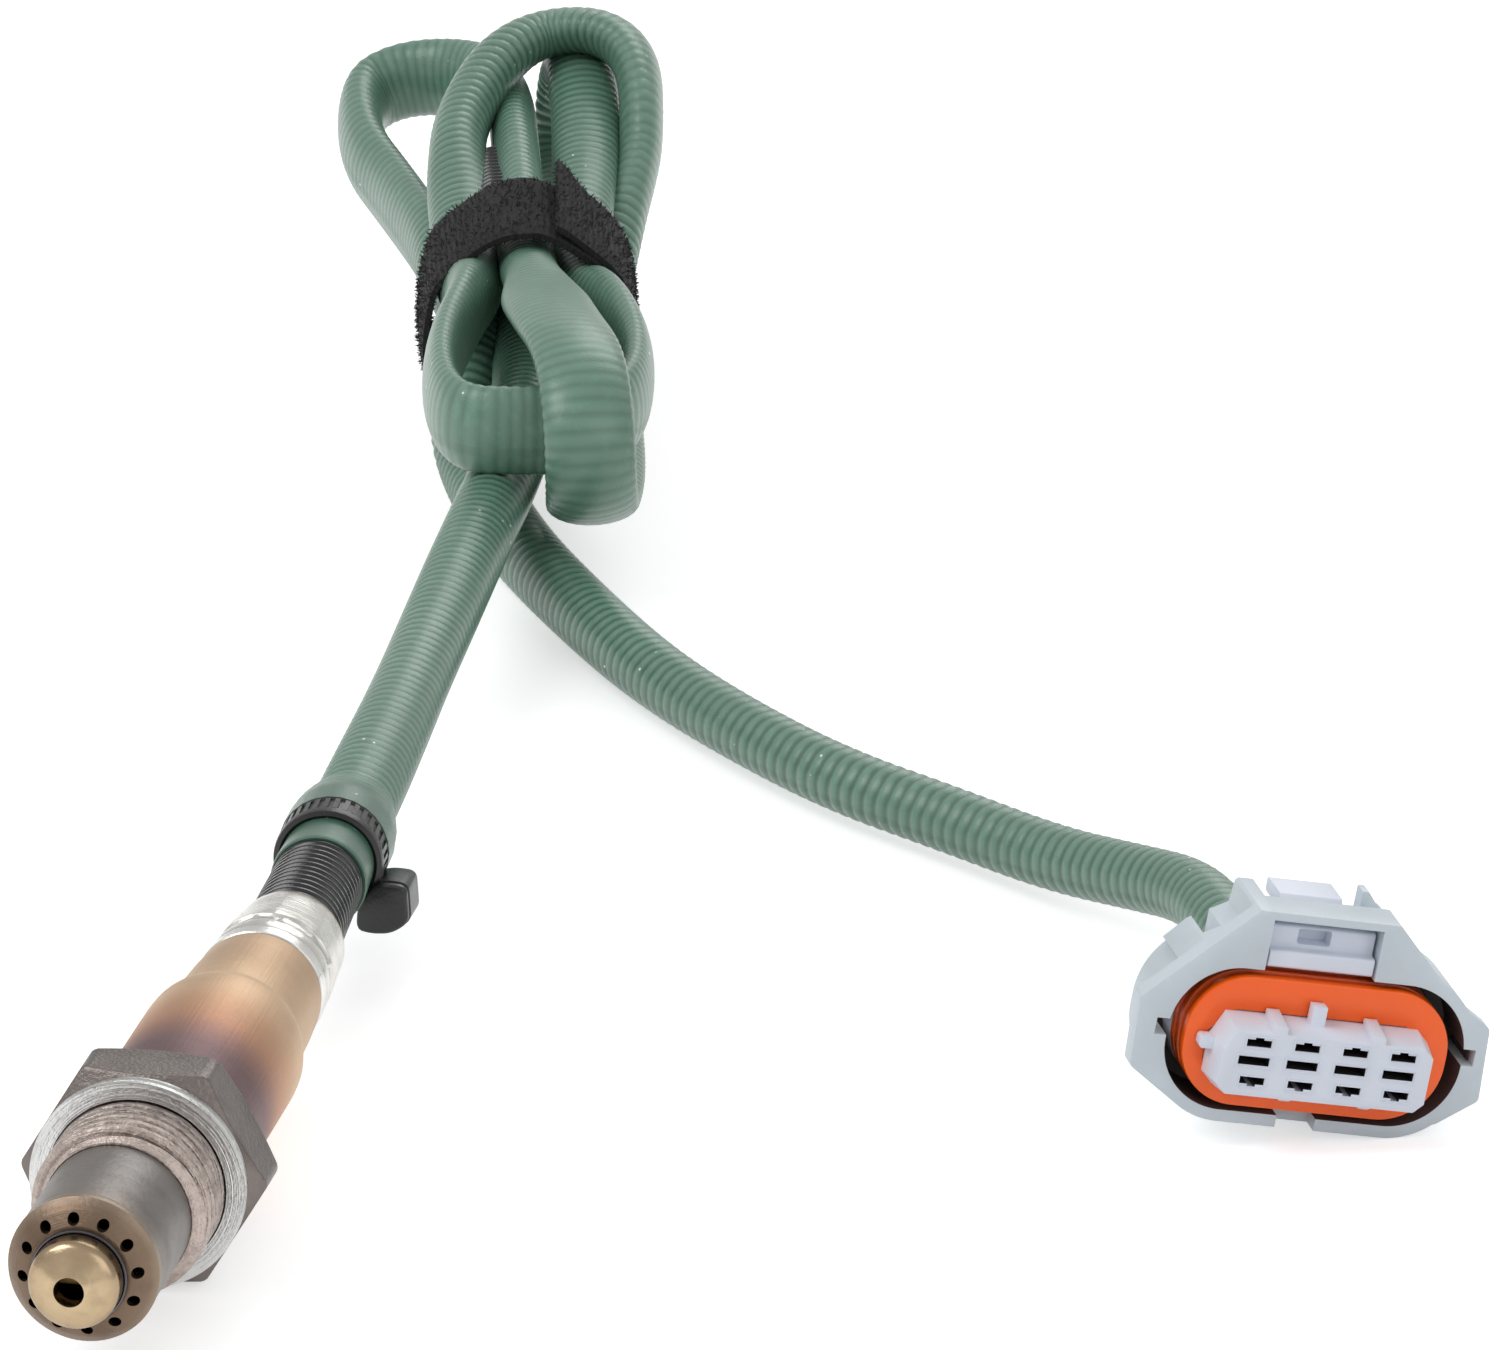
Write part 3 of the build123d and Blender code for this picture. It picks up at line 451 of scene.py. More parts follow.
SLEEVE_STEEL = Metal("heat_tinted_sleeve_steel",
                     ramp((0.0, 118, 98, 100), (0.21, 124, 100, 100), (0.28, 148, 114, 104), (0.36, 178, 136, 110),
                          (0.46, 192, 154, 124), (0.56, 204, 174, 144), (0.7, 202, 174, 144), (1.0, 192, 164, 136)),
                     (10.0, 55.0), 0.52, 0.1, 0.25, 0.1, turned=0.12, drawn=0.3, drift=4.0)
# The ramp's lighter start, on the collar's front lip, is a painted highlight.
COLLAR_STEEL = Metal("bright_collar_steel", ramp((0.0, 226, 225, 222), (0.12, 214, 212, 206), (0.92, 212, 210, 204),
                                                 (0.97, 190, 174, 150), (1.0, 190, 174, 150)),
                     (55.2, 70.5), 0.22, 0.08, 0.3, 0.3, turned=0.3, pitting=0.3)
TERMINAL_METAL = Metal("tinned_terminals", ramp((0.0, 150, 146, 138), (1.0, 130, 126, 120)), (0.0, 90.0), 0.3)
CERAMIC = Plastic("fired_ceramic", srgb(226, 222, 210), 0.5, 0.04)
ELEMENT_CERAMIC = Plastic("heat_stained_ceramic", srgb(190, 152, 98), 0.5, 0.04)
WIRE_SKIN = Plastic("wire_insulation_skin", srgb(206, 206, 198), 0.45)
SLEEVE_RUBBER = Plastic("sealing_grommet_rubber", srgb(24, 24, 25), 0.5, 0.05)
CONDUIT_BLACK = Plastic("corrugated_black_nylon", srgb(14, 14, 16), 0.2, 0.02, clear=0.3)
TIE_BLACK = Plastic("moulded_tie_nylon", srgb(22, 22, 23), 0.36, 0.05, clear=0.15)
# Its second colour is the painted shade between the lead's ribs.
GREEN_SKIN = RibbedSkin("green_ribbed_skin", srgb(102, 138, 120), srgb(66, 101, 84), srgb(225, 232, 226), 0.36)
STRAP_PILE = LoopPile("black_loop_pile", srgb(6, 5, 8), srgb(27, 24, 30))
SHELL_PLASTIC = Plastic("pale_shell_plastic", srgb(200, 211, 218), 0.42, 0.02, 4.0, 0.03, glow_through=0.08)
CORE_PLASTIC = Plastic("lavender_core_plastic", srgb(218, 224, 236), 0.38, 0.02, 4.0, 0.03, glow_through=0.08)
SEAL_SILICONE = Plastic("orange_seal_silicone", srgb(255, 98, 12), 0.34, 0.02, 4.0, 0.03, clear=0.1,
                        glow_through=0.1)
# Painted shade: dark colours for faces deep in the core's openings, in the shell's mouth and on the key notch's back
# wall, where shadow falls.
OPENING_SHADE = Plastic("shaded_opening_plastic", srgb(30, 24, 24), 0.6)
MOUTH_SHADE = Plastic("shaded_mouth_plastic", srgb(74, 66, 64), 0.5)


# ---------------------------------------------------------------- meshes
def placed(name: str, data: bpy.types.ID) -> bpy.types.Object:
    """A new object of data in the scene, at the origin."""
    made = bpy.data.objects.new(name, data)
    bpy.context.scene.collection.objects.link(made)
    return made


def evaluated_mesh(holder: bpy.types.Object) -> bpy.types.Mesh:
    """A plain mesh of what holder's modifiers or curve make."""
    return bpy.data.meshes.new_from_object(holder.evaluated_get(bpy.context.evaluated_depsgraph_get()))


def settle(mesh: bpy.types.Mesh, sharp: float, outward: bool) -> None:
    """Merges doubles, turns faces outwards and marks the sharp edges.

    Args:
        mesh: The mesh to finish.
        sharp: Edges that turn by more degrees than this stay sharp.
        outward: Whether the faces are turned outwards.
    """
    work = bmesh.new()
    work.from_mesh(mesh)
    bmesh.ops.remove_doubles(work, verts=work.verts, dist=1e-7)
    bmesh.ops.dissolve_degenerate(work, edges=work.edges, dist=1e-8)
    if outward:
        bmesh.ops.recalc_face_normals(work, faces=work.faces)
    for face in work.faces:
        face.smooth = True
    for edge in work.edges:
        edge.smooth = len(edge.link_faces) != 2 or edge.calc_face_angle(0.0) < math.radians(sharp)
    work.to_mesh(mesh)
    work.free()


def piece_of(name: str, points: np.ndarray, faces: Iterable[Sequence[int]], finish: Finish,
             sharp: float) -> bpy.types.Object:
    """A mesh object in the part's frame.

    Args:
        name: The piece's name.
        points: Its points in millimetres.
        faces: Its faces.
        finish: What it wears.
        sharp: Edges that turn by more degrees than this stay sharp.

    Returns:
        The object, at the origin.
    """
    mesh = bpy.data.meshes.new(name)
    mesh.from_pydata((np.asarray(points, float) * MM).tolist(), [], [tuple(map(int, face)) for face in faces])
    settle(mesh, sharp, True)
    made = placed(name, mesh)
    finish.wear(made)
    return made


def enrol(piece: bpy.types.Object, body: str, slot: str, *nodes: str) -> bpy.types.Object:
    """Lets a piece ride on a body and logs it.

    Args:
        piece: The finished piece.
        body: The body that carries it.
        slot: Its material slot. It is not used.
        nodes: The CAD nodes that it stands for.

    Returns:
        The piece.
    """
    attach(piece, body)
    if nodes:
        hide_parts(*nodes)
    LOG.info("%s: %d faces", piece.name, len(piece.data.polygons) if piece.type == "MESH" else 0)
    return piece


def grid_faces(rows: int, columns: int, closed: bool = False) -> list[tuple[int, ...]]:
    """Quads of a grid of rows rings with columns points each, every ring closed.

    Args:
        rows: How many rings there are.
        columns: Points in each ring.
        closed: Whether the last ring meets the first.

    Returns:
        The quads.
    """
    faces = []
    for row in range(rows if closed else rows - 1):
        near, far = row * columns, (row + 1) % rows * columns
        faces += [(near + c, near + (c + 1) % columns, far + (c + 1) % columns, far + c) for c in range(columns)]
    return faces


def capped_faces(rows: int, columns: int) -> list[tuple[int, ...]]:
    """Quads of an open grid of rings with a face on each end."""
    last = (rows - 1) * columns
    return grid_faces(rows, columns) + [tuple(range(columns))[::-1], tuple(range(last, last + columns))]


def axis_ring(angles: np.ndarray, y: float, radius: float | np.ndarray) -> np.ndarray:
    """Points round the sensor's axis at y."""
    radii = np.broadcast_to(radius, angles.shape)
    return np.stack([radii * np.cos(angles), np.full(angles.shape, y), radii * np.sin(angles)], 1)


def ringed_piece(name: str, rings: Sequence[np.ndarray], finish: Finish, sharp: float, closed: bool = True,
                 ) -> bpy.types.Object:
    """A piece made of rings of equally many points.

    Args:
        name: The piece's name.
        rings: The rings' points in millimetres.
        finish: What it wears.
        sharp: Edges that turn by more degrees than this stay sharp.
        closed: Whether the last ring meets the first.

    Returns:
        The piece.
    """
    return piece_of(name, np.concatenate(rings), grid_faces(len(rings), len(rings[0]), closed), finish, sharp)


def lay_skin(mesh: bpy.types.Mesh, across: np.ndarray, along: np.ndarray) -> None:
    """Gives a mesh the UV map "skin" from two values of each of its points."""
    corners = np.zeros(len(mesh.loops), np.int32)
    mesh.loops.foreach_get("vertex_index", corners)
    flat = np.stack([across[corners], along[corners]], 1)
    mesh.uv_layers.new(name="skin").data.foreach_set("uv", flat.astype(np.float32).ravel())


def square_to(axis: np.ndarray) -> tuple[np.ndarray, np.ndarray]:
    """Two directions square to axis, the first of them level."""
    side = np.cross(axis, (0, 0, 1))
    side /= np.linalg.norm(side)
    return side, np.cross(side, axis)


def placing(axes: Sequence[Sequence[float]], origin: Point) -> Matrix:
    """Matrix that turns X, Y and Z to axes and moves them to origin, which is in millimetres."""
    made = Matrix([tuple(axis) for axis in axes]).transposed().to_4x4()
    made.translation = Vector(origin) * MM
    return made


def softened_copy(node: str, width: float, finish: Finish) -> bpy.types.Object:
    """A copy of a CAD node, merged and with its edges rounded.

    Args:
        node: The CAD node.
        width: The rounding's width in millimetres.
        finish: What the copy wears.

    Returns:
        The copy.
    """
    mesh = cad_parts[node].data.copy()
    mesh.name = f"{node}_softened"
    work = bmesh.new()
    work.from_mesh(mesh)
    bmesh.ops.remove_doubles(work, verts=work.verts, dist=2e-6)
    bmesh.ops.dissolve_limit(work, angle_limit=math.radians(1.5), verts=work.verts, edges=work.edges)
    edges = [e for e in work.edges if len(e.link_faces) == 2 and e.calc_face_angle(0.0) > math.radians(28)]
    bmesh.ops.bevel(work, geom=edges, offset=width * MM, segments=2, profile=0.5, affect="EDGES",
                    clamp_overlap=True, offset_type="OFFSET")
    work.to_mesh(mesh)
    work.free()
    if mesh.has_custom_normals:
        mesh.normals_split_custom_set([(0.0, 0.0, 0.0)] * len(mesh.loops))
    settle(mesh, 32.0, False)
    made = placed(mesh.name, mesh)
    finish.wear(made)
    return made


# ---------------------------------------------------------------- geometry node recipes
class Recipe:
    """A Geometry Nodes tree with named inputs, and the means to turn its result into a mesh."""

    def __init__(self, name: str, inputs: dict[str, float | int]) -> None:
        """Makes the tree.

        Args:
            name: The tree's name.
            inputs: Its inputs' names and values.
        """
        self.tree = bpy.data.node_groups.new(name, "GeometryNodeTree")
        self.tree.interface.new_socket("Geometry", in_out="INPUT", socket_type="NodeSocketGeometry")
        self.values = inputs
        for key, value in inputs.items():
            kind = "NodeSocketInt" if isinstance(value, int) else "NodeSocketFloat"
            self.tree.interface.new_socket(key, in_out="INPUT", socket_type=kind)
        self.tree.interface.new_socket("Geometry", in_out="OUTPUT", socket_type="NodeSocketGeometry")
        self.graph = NodeGraph(self.tree)
        self.given = self.graph.node("NodeGroupInput")

    def finish(self, geometry: Wire, finish: Finish) -> None:
        """Ends the tree: instances made real, and the finish set."""
        real = self.graph.node("GeometryNodeRealizeInstances", {}, {"Geometry": geometry})["Geometry"]
        dressed = self.graph.node("GeometryNodeSetMaterial", {}, {"Geometry": real, "Material": finish.material()})
        self.graph.node("NodeGroupOutput", {}, {"Geometry": dressed["Geometry"]})

    def bake(self, name: str, base: bpy.types.Object | None = None, sharp: float = 40.0) -> bpy.types.Object:
        """Runs the tree on base and keeps the result as a plain mesh.

        Args:
            name: The piece's name.
            base: The object whose mesh is the tree's geometry.
            sharp: Edges that turn by more degrees than this stay sharp.

        Returns:
            The new piece, at the origin.
        """
        mesh = base.data.copy() if base is not None else bpy.data.meshes.new(name)
        holder = placed(f"{name}_holder", mesh)
        modifier = holder.modifiers.new("recipe", "NODES")
        modifier.node_group = self.tree
        for item in self.tree.interface.items_tree:
            if item.in_out == "INPUT" and item.name in self.values:
                modifier[item.identifier] = self.values[item.name]
        result = evaluated_mesh(holder)
        holder.modifiers.remove(modifier)
        bpy.data.objects.remove(holder)
        result.name = name
        settle(result, sharp, False)
        return placed(name, result)


def thread_recipe(finish: Finish, start: float, end: float, radius: float, pitch: float, depth: float) -> Recipe:
    """Recipe of a worn helical thread round the sensor's axis.

    Args:
        finish: What the thread wears.
        start: The front end's y in millimetres.
        end: The rear end's y.
        radius: The crest's radius.
        pitch: Distance from ridge to ridge.
        depth: The ridges' height.

    Returns:
        The recipe. Its geometry is a closed sleeve of rings.
    """
    recipe = Recipe("worn_thread", {"Start": start * MM, "End": end * MM, "Radius": radius * MM,
                                    "Pitch": pitch * MM, "Depth": depth * MM, "Lead": 1.2 * MM,
                                    "Drop": 1.25 * MM, "Bore": 7.62 * MM})
    graph, given = recipe.graph, recipe.given
    place = graph.node("GeometryNodeInputPosition")["Position"]
    x, y, z = graph.parts(place)
    angle = graph.maths("ARCTAN2", z, x)
    turn = y / given["Pitch"] + angle / (2 * math.pi)
    away = (turn.maths("FRACT") * 2.0 - 1.0).maths("ABSOLUTE")
    crest = away.step(0.22, 0.66)
    chipped = graph.node("ShaderNodeTexNoise", {}, {"Vector": place, "Scale": 520.0, "Detail": 3.0})["Fac"]
    lead = ((y - given["Start"]) / given["Lead"]).step(-0.1, 1.0)
    worn = (1.0 - crest) * given["Depth"] * (0.8 + 0.2 * lead) + (1.0 - lead) * given["Drop"]
    bite = (chipped - 0.5) * 0.16 * MM
    radial = (given["Radius"] - worn + bite).maths("MAXIMUM", given["Bore"])
    moved = graph.vector(angle.maths("COSINE") * radial, y, angle.maths("SINE") * radial)
    shaped = graph.node("GeometryNodeSetPosition", {}, {"Geometry": given["Geometry"], "Position": moved})
    recipe.finish(shaped["Geometry"], finish)
    return recipe


def round_row_recipe(name: str, finish: Finish, count: int, radius: float, item: Callable[[NodeGraph], Wire]) -> Recipe:
    """Recipe of equal items round the Z axis, each turned to face outwards.

    Args:
        name: The recipe's name.
        finish: What the items wear.
        count: How many there are.
        radius: Their distance from the axis, in millimetres.
        item: Makes one item's mesh in the graph.

    Returns:
        The recipe.
    """
    recipe = Recipe(name, {"Count": count, "Radius": radius * MM})
    graph, given = recipe.graph, recipe.given
    ring = graph.node("GeometryNodeMeshCircle", {}, {"Vertices": given["Count"], "Radius": given["Radius"]})["Mesh"]
    number = graph.node("GeometryNodeInputIndex")["Index"]
    angle = number * (2 * math.pi) / given["Count"]
    standing = graph.node("GeometryNodeInstanceOnPoints", {}, {"Points": ring, "Instance": item(graph),
                                                               "Rotation": graph.vector(z=angle)})["Instances"]
    recipe.finish(standing, finish)
    return recipe


def pile_recipe(finish: Finish, density: float, length: float, seed: int) -> Recipe:
    """Recipe of short crooked fibres that stand on a cloth's faces.

    Args:
        finish: What the fibres wear.
        density: Fibres on a square millimetre.
        length: A fibre's length in millimetres.
        seed: Seed of their places and sizes.

    Returns:
        The recipe. Its geometry is the cloth.
    """
    recipe = Recipe("loop_pile", {"Density": density / MM**2, "Length": length * MM, "Seed": seed})
    graph, given = recipe.graph, recipe.given
    spread = graph.node("GeometryNodeDistributePointsOnFaces", {}, {"Mesh": given["Geometry"],
                                                                    "Density": given["Density"], "Seed": given["Seed"]})
    fibre = graph.node("GeometryNodeMeshCone", {"fill_type": "NONE"}, {
        "Vertices": 3, "Side Segments": 2, "Radius Top": 0.035 * MM, "Radius Bottom": 0.09 * MM,
        "Depth": given["Length"]})["Mesh"]
    lean = graph.node("FunctionNodeRandomValue", {"data_type": "FLOAT_VECTOR"}, {
        "Min": (-0.9, -0.9, -3.1), "Max": (0.9, 0.9, 3.1), "Seed": given["Seed"]})["Value"]
    turned = graph.node("FunctionNodeRotateEuler", {"rotation_type": "EULER", "space": "LOCAL"},
                        {"Rotation": spread["Rotation"], "Rotate By": lean})["Rotation"]
    size = graph.node("FunctionNodeRandomValue", {"data_type": "FLOAT"}, {"Min": 0.5, "Max": 1.25,
                                                                          "Seed": given["Seed"]})[1]
    standing = graph.node("GeometryNodeInstanceOnPoints", {}, {"Points": spread["Points"], "Instance": fibre,
                                                               "Rotation": turned, "Scale": size})["Instances"]
    recipe.finish(standing, finish)
    return recipe


# ---------------------------------------------------------------- sensor body
@dataclass(frozen=True)
class Turned:
    """A piece turned about the sensor's axis, its closed profile given as pairs of y and radius."""

    name: str
    finish: Finish
    slot: str
    nodes: tuple[str, ...]
    segments: int
    sharp: float
    profile: tuple[tuple[float, float], ...]

    def build(self) -> bpy.types.Object:
        """Builds and enrols the piece."""
        angles = full_turn(self.segments)
        rings = [axis_ring(angles, y, radius) for y, radius in self.profile]
        return enrol(ringed_piece(self.name, rings, self.finish, self.sharp), SENSOR, self.slot, *self.nodes)


TURNED: tuple[Turned, ...] = (
    Turned("drawn_sleeve", SLEEVE_STEEL, "sleeve_steel", ("protective_sleeve",), 144, 34.0, (
        (10.0, 8.65), (16.0, 8.65), (30.0, 8.65), (36.6, 8.64), (38.2, 8.55), (39.3, 8.32), (40.0, 8.06),
        (40.5, 7.86), (40.9, 7.74), (41.0, 7.6), (41.5, 7.54), (42.6, 7.46), (46.0, 7.3), (50.0, 7.12),
        (54.2, 6.84), (55.0, 6.74), (55.15, 6.3), (58.8, 6.3), (58.8, 5.6), (54.3, 5.6), (50.0, 6.4),
        (42.4, 6.65), (39.0, 7.3), (34.0, 7.95), (10.0, 7.95))),
    Turned("spun_dome", DOME_STEEL, "dome_steel", ("inner_protection_tube",), 128, 40.0, (
        (-10.0, 4.58), (-23.0, 4.58), (-26.2, 4.58), (-26.6, 4.53), (-26.92, 4.38), (-27.16, 4.14),
        (-27.36, 3.8), (-27.7, 3.15), (-28.1, 2.4), (-28.5, 1.66), (-28.53, 1.54), (-28.42, 1.48),
        (-26.8, 1.44), (-26.8, 2.4), (-26.7, 3.7), (-26.2, 4.18), (-10.0, 4.18))),
    Turned("mouth_ring", MOUTH_STEEL, "tube_steel", (), 128, 50.0, (
        (-23.6, 4.62), (-24.42, 4.62), (-24.54, 4.68), (-24.54, 4.8), (-24.42, 4.86), (-23.6, 4.86))),
)
COLLAR_OUTLINE: tuple[tuple[float, float], ...] = (
    (55.2, 6.45), (55.2, 6.7), (55.35, 6.82), (57.0, 6.84), (57.3, 6.62), (57.6, 6.58), (57.9, 6.76), (59.3, 6.74),
    (59.8, 6.6), (60.1, 6.3), (60.7, 6.22), (61.3, 6.3), (61.6, 6.58), (62.6, 6.66), (64.0, 6.52), (65.5, 6.38),
    (67.0, 6.26), (68.6, 6.08), (69.9, 5.92), (70.3, 5.82), (70.45, 5.66), (70.45, 5.4))
CONDUIT_START: Point = (0.0, 67.6, 0.0)
CONDUIT_BEND: Point = (0.0, 70.5, 0.0)
CONDUIT_TIP: Point = (-1.3, 97.0, 0.6)


@dataclass
class SensorBody:
    """The hexagon, thread, gasket, perforated tip, rear sleeve, collar and black conduit."""

    hexagon_span: tuple[float, float] = (1.8, 10.0)
    hexagon_across: float = 22.0
    hexagon_chamfer: float = 1.1
    chamfer_angle: float = 30.0
    edge_wear: float = 0.09
    corner_wear: float = 0.16
    thread_start: float = -8.1
    thread_radius: float = 9.0
    thread_pitch: float = 1.5
    thread_depth: float = 0.92
    front_bore: float = 7.55
    relief_radius: float = 8.2
    housing_bore: float = 4.2
    spigot: tuple[float, float] = (7.9, 14.5)
    die_depth: float = 0.022
    nick_depth: float = 0.12
    conduit_pitch: float = 1.3
    groove_depth: float = 0.34

    def hexagon(self) -> bpy.types.Object:
        """The hexagon with turned-down corners, its relief and its spigot."""
        half = self.hexagon_across / 2
        corner = half / math.cos(math.pi / 6)
        slope = math.tan(math.radians(self.chamfer_angle))
        drop = (corner - half + self.hexagon_chamfer) * slope
        front, rear = self.hexagon_span
        angles = full_turn(216)
        flat = np.minimum(half / np.cos((angles % (math.pi / 3)) - math.pi / 6), corner - self.corner_wear)
        ring_ys = np.concatenate([front + np.linspace(0, drop, 15),
                                  np.linspace(front + drop + 0.6, rear - drop - 0.6, 5),
                                  rear - np.linspace(drop, 0, 15)])
        rings = [axis_ring(angles, front, self.relief_radius)]
        for y in ring_ys:
            cone = half - self.hexagon_chamfer + min(y - front, rear - y) / slope
            both = np.exp(-flat / self.edge_wear) + np.exp(-cone / self.edge_wear)
            rings.append(axis_ring(angles, y, -np.log(both) * self.edge_wear))
        spigot_radius, spigot_end = self.spigot
        inside = self.thread_start + 2.0
        rings += [axis_ring(angles, y, radius) for y, radius in (
            (rear, spigot_radius), (spigot_end, spigot_radius), (spigot_end, self.housing_bore),
            (inside, self.housing_bore), (inside, self.relief_radius))]
        return ringed_piece("hexagon_body", rings, HEX_STEEL, 30.0)

    def thread(self) -> bpy.types.Object:
        """The worn thread, a sleeve of rings shaped by its recipe and closed with the front recess's wall."""
        angles = full_turn(160)
        rings = [axis_ring(angles, y, self.thread_radius) for y in np.linspace(self.thread_start, 0.0, 98)]
        base = ringed_piece("thread_rings", rings, THREAD_STEEL, 40.0, False)
        recipe = thread_recipe(THREAD_STEEL, self.thread_start, 0.0, self.thread_radius, self.thread_pitch,
                               self.thread_depth)
        made = recipe.bake("thread_shank", base, 50.0)
        bpy.data.objects.remove(base)
        work = bmesh.new()
        work.from_mesh(made.data)
        grown = bmesh.ops.extrude_edge_only(work, edges=[e for e in work.edges if e.is_boundary])["geom"]
        for vert in (v for v in grown if isinstance(v, bmesh.types.BMVert)):
            front = vert.co.y < self.thread_start / 2 * MM
            radius = (self.front_bore if front else self.relief_radius - 0.5) * MM
            flat = Vector((vert.co.x, 0.0, vert.co.z)).normalized() * radius
            vert.co = Vector((flat.x, vert.co.y, flat.z))
        bmesh.ops.bridge_loops(work, edges=[e for e in work.edges if e.is_boundary])
        bmesh.ops.recalc_face_normals(work, faces=work.faces)
        work.to_mesh(made.data)
        work.free()
        settle(made.data, 50.0, False)
        return made

    def collar(self) -> bpy.types.Object:
        """The bright collar, crimped in a groove and drawn in by eight dies at its rear."""
        angles = full_turn(192)
        facet = np.cos((angles % (math.pi / 4)) - math.pi / 8)
        nick = np.abs(np.sin(angles * 6)) ** 8
        rings = []
        for y, radius in COLLAR_OUTLINE:
            rear_die = ease(61.4, 62.6, y) * (1 - ease(67.5, 69.5, y))
            die = rear_die + 0.6 * ease(57.4, 57.8, y) * (1 - ease(59.0, 59.6, y))
            groove = ease(59.8, 60.3, y) * (1 - ease(61.1, 61.6, y))
            drawn = radius * (1 - die * self.die_depth * (facet - 0.92) / 0.08)
            rings.append(axis_ring(angles, y, drawn + groove * nick * self.nick_depth))
        return ringed_piece("crimped_collar", rings, COLLAR_STEEL, 30.0, False)

    def conduit(self, name: str, start: Point, tip: Point, radius: float, narrowing: float) -> bpy.types.Object:
        """A stretch of black corrugated conduit.

        Args:
            name: The piece's name.
            start: Where it starts.
            tip: Where it ends.
            radius: The ribs' radius at the start.
            narrowing: How much narrower it is at the tip.

        Returns:
            The piece.
        """
        first, last = np.array(start), np.array(tip)
        reach = float(np.linalg.norm(last - first))
        axis = (last - first) / reach
        side, up = square_to(axis)
        angles = full_turn(96)
        circle = np.cos(angles)[:, None] * side + np.sin(angles)[:, None] * up
        rings = []
        for place in np.arange(0.0, reach, self.conduit_pitch / 10):
            phase = (place / self.conduit_pitch) % 1.0
            crest = ease(0.0, 0.22, phase) * (1 - ease(0.5, 0.72, phase))
            width = radius - narrowing * ease(0.0, reach, place) - self.groove_depth * (1 - crest)
            rings.append(first + axis * place + width * circle)
        rings = [rings[0] * 0.8 + first * 0.2, *rings, rings[-1] * 0.8 + rings[-1].mean(0) * 0.2]
        return ringed_piece(name, rings, CONDUIT_BLACK, 60.0)

    def dress(self) -> None:
        """Builds and enrols every piece of the sensor body."""
        enrol(self.hexagon(), SENSOR, "body_steel", "sensor_housing")
        enrol(self.thread(), SENSOR, "body_steel")
        enrol(self.collar(), SENSOR, "collar_steel", "crimp_collar")
        enrol(self.conduit("ribbed_conduit", CONDUIT_START, CONDUIT_TIP, 5.2, 0.45), SENSOR, "black_plastic",
              "corrugated_tube")
        enrol(self.conduit("bare_conduit", (-20.9, 280.5, 15.6), (-24.9, 296.0, 15.8), 3.1, 0.0), SENSOR,
              "black_plastic")
        for piece in TURNED:
            piece.build()
        finishes = {"gasket_ring": GASKET_STEEL, "outer_protection_tube": TIP_STEEL, "cable_grommet": SLEEVE_RUBBER,
                    "sensing_element": ELEMENT_CERAMIC}
        finishes |= dict.fromkeys(("lower_ceramic_bush", "talc_seal", "upper_ceramic_bush", "contact_holder"), CERAMIC)
        for number in range(1, 5):
            finishes |= {f"contact_clip_{number}": TERMINAL_METAL, f"lead_wire_{number}": WIRE_SKIN}
        for node, finish in finishes.items():
            finish.wear(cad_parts[node])


# ---------------------------------------------------------------- lead
SENSOR_RUN: list[Point] = [
    (-1.3, 97.2, 0.6), (-2.8, 128.0, 0.5), (-4.7, 162.0, 1.2), (-6.6, 196.0, 2.0),
    (-8.0, 226.0, 2.6), (-10.6, 247.0, 3.1),
]
HANK_RUN: list[Point] = [
    (-14.0, 263.7, 3.5), (-18.2, 281.3, 5.3), (-20.0, 300.0, 4.5), (-21.2, 317.0, 4.0), (-22.5, 329.5, 6.5),
    (-22.5, 331.0, 16.0), (-20.0, 323.5, 22.8), (-15.2, 306.0, 18.6), (-11.5, 282.8, 13.5), (-8.0, 265.3, 11.7),
    (-0.6, 249.6, 13.0), (4.6, 236.3, 12.0), (6.9, 220.3, 11.5), (3.3, 212.1, 11.5), (-3.9, 210.2, 11.5),
    (-10.5, 208.8, 11.5), (-15.2, 218.2, 11.5), (-18.2, 234.2, 12.0), (-18.6, 250.8, 13.0), (-20.7, 262.2, 11.5),
    (-24.9, 279.7, 13.3), (-30.3, 297.6, 17.5), (-30.3, 307.5, 21.0), (-28.0, 316.0, 24.7), (-23.7, 320.7, 26.6),
    (-16.6, 319.9, 27.6), (-11.2, 315.9, 25.6), (-8.7, 307.3, 20.7), (-8.0, 300.9, 14.5), (-10.0, 283.2, 5.5),
    (-6.4, 265.6, 3.7), (-2.6, 249.0, 2.0), (2.0, 229.0, 0.8), (3.7, 214.5, 1.0), (5.5, 204.5, 6.8),
    (5.2, 204.0, 15.3), (2.3, 212.5, 20.8), (-3.4, 226.0, 20.3), (-9.4, 246.0, 17.2), (-14.3, 263.7, 14.0),
    (-18.4, 281.2, 15.6), (-23.5, 301.7, 17.3), (-27.7, 320.3, 16.5), (-33.7, 335.6, 15.0), (-40.1, 340.1, 14.0),
    (-46.2, 340.1, 13.0), (-50.3, 336.9, 11.0), (-47.6, 323.8, 8.5), (-40.4, 312.1, 6.5), (-24.6, 279.4, 5.0),
    (-19.9, 261.8, 3.2), (-19.6, 252.0, -1.8),
]
CONNECTOR_RUN: list[Point] = [
    (-16.8, 247.0, -6.7), (-7.1, 223.0, -6.8), (6.5, 199.0, -6.8), (18.0, 181.0, -6.8), (30.5, 166.0, -6.8),
    (44.0, 152.5, -6.8), (58.0, 143.0, -6.8), (71.0, 133.0, -6.6), (81.5, 123.0, -4.2), (89.0, 114.6, -2.0),
    (94.0, 103.6, -1.2), (99.7, 89.8, -1.07),
]


@dataclass(frozen=True)
class Press:
    """How the lead is pressed flat between two places of its route, counted in route points."""

    start: float
    end: float
    axis: Point
    wide: float
    thin: float


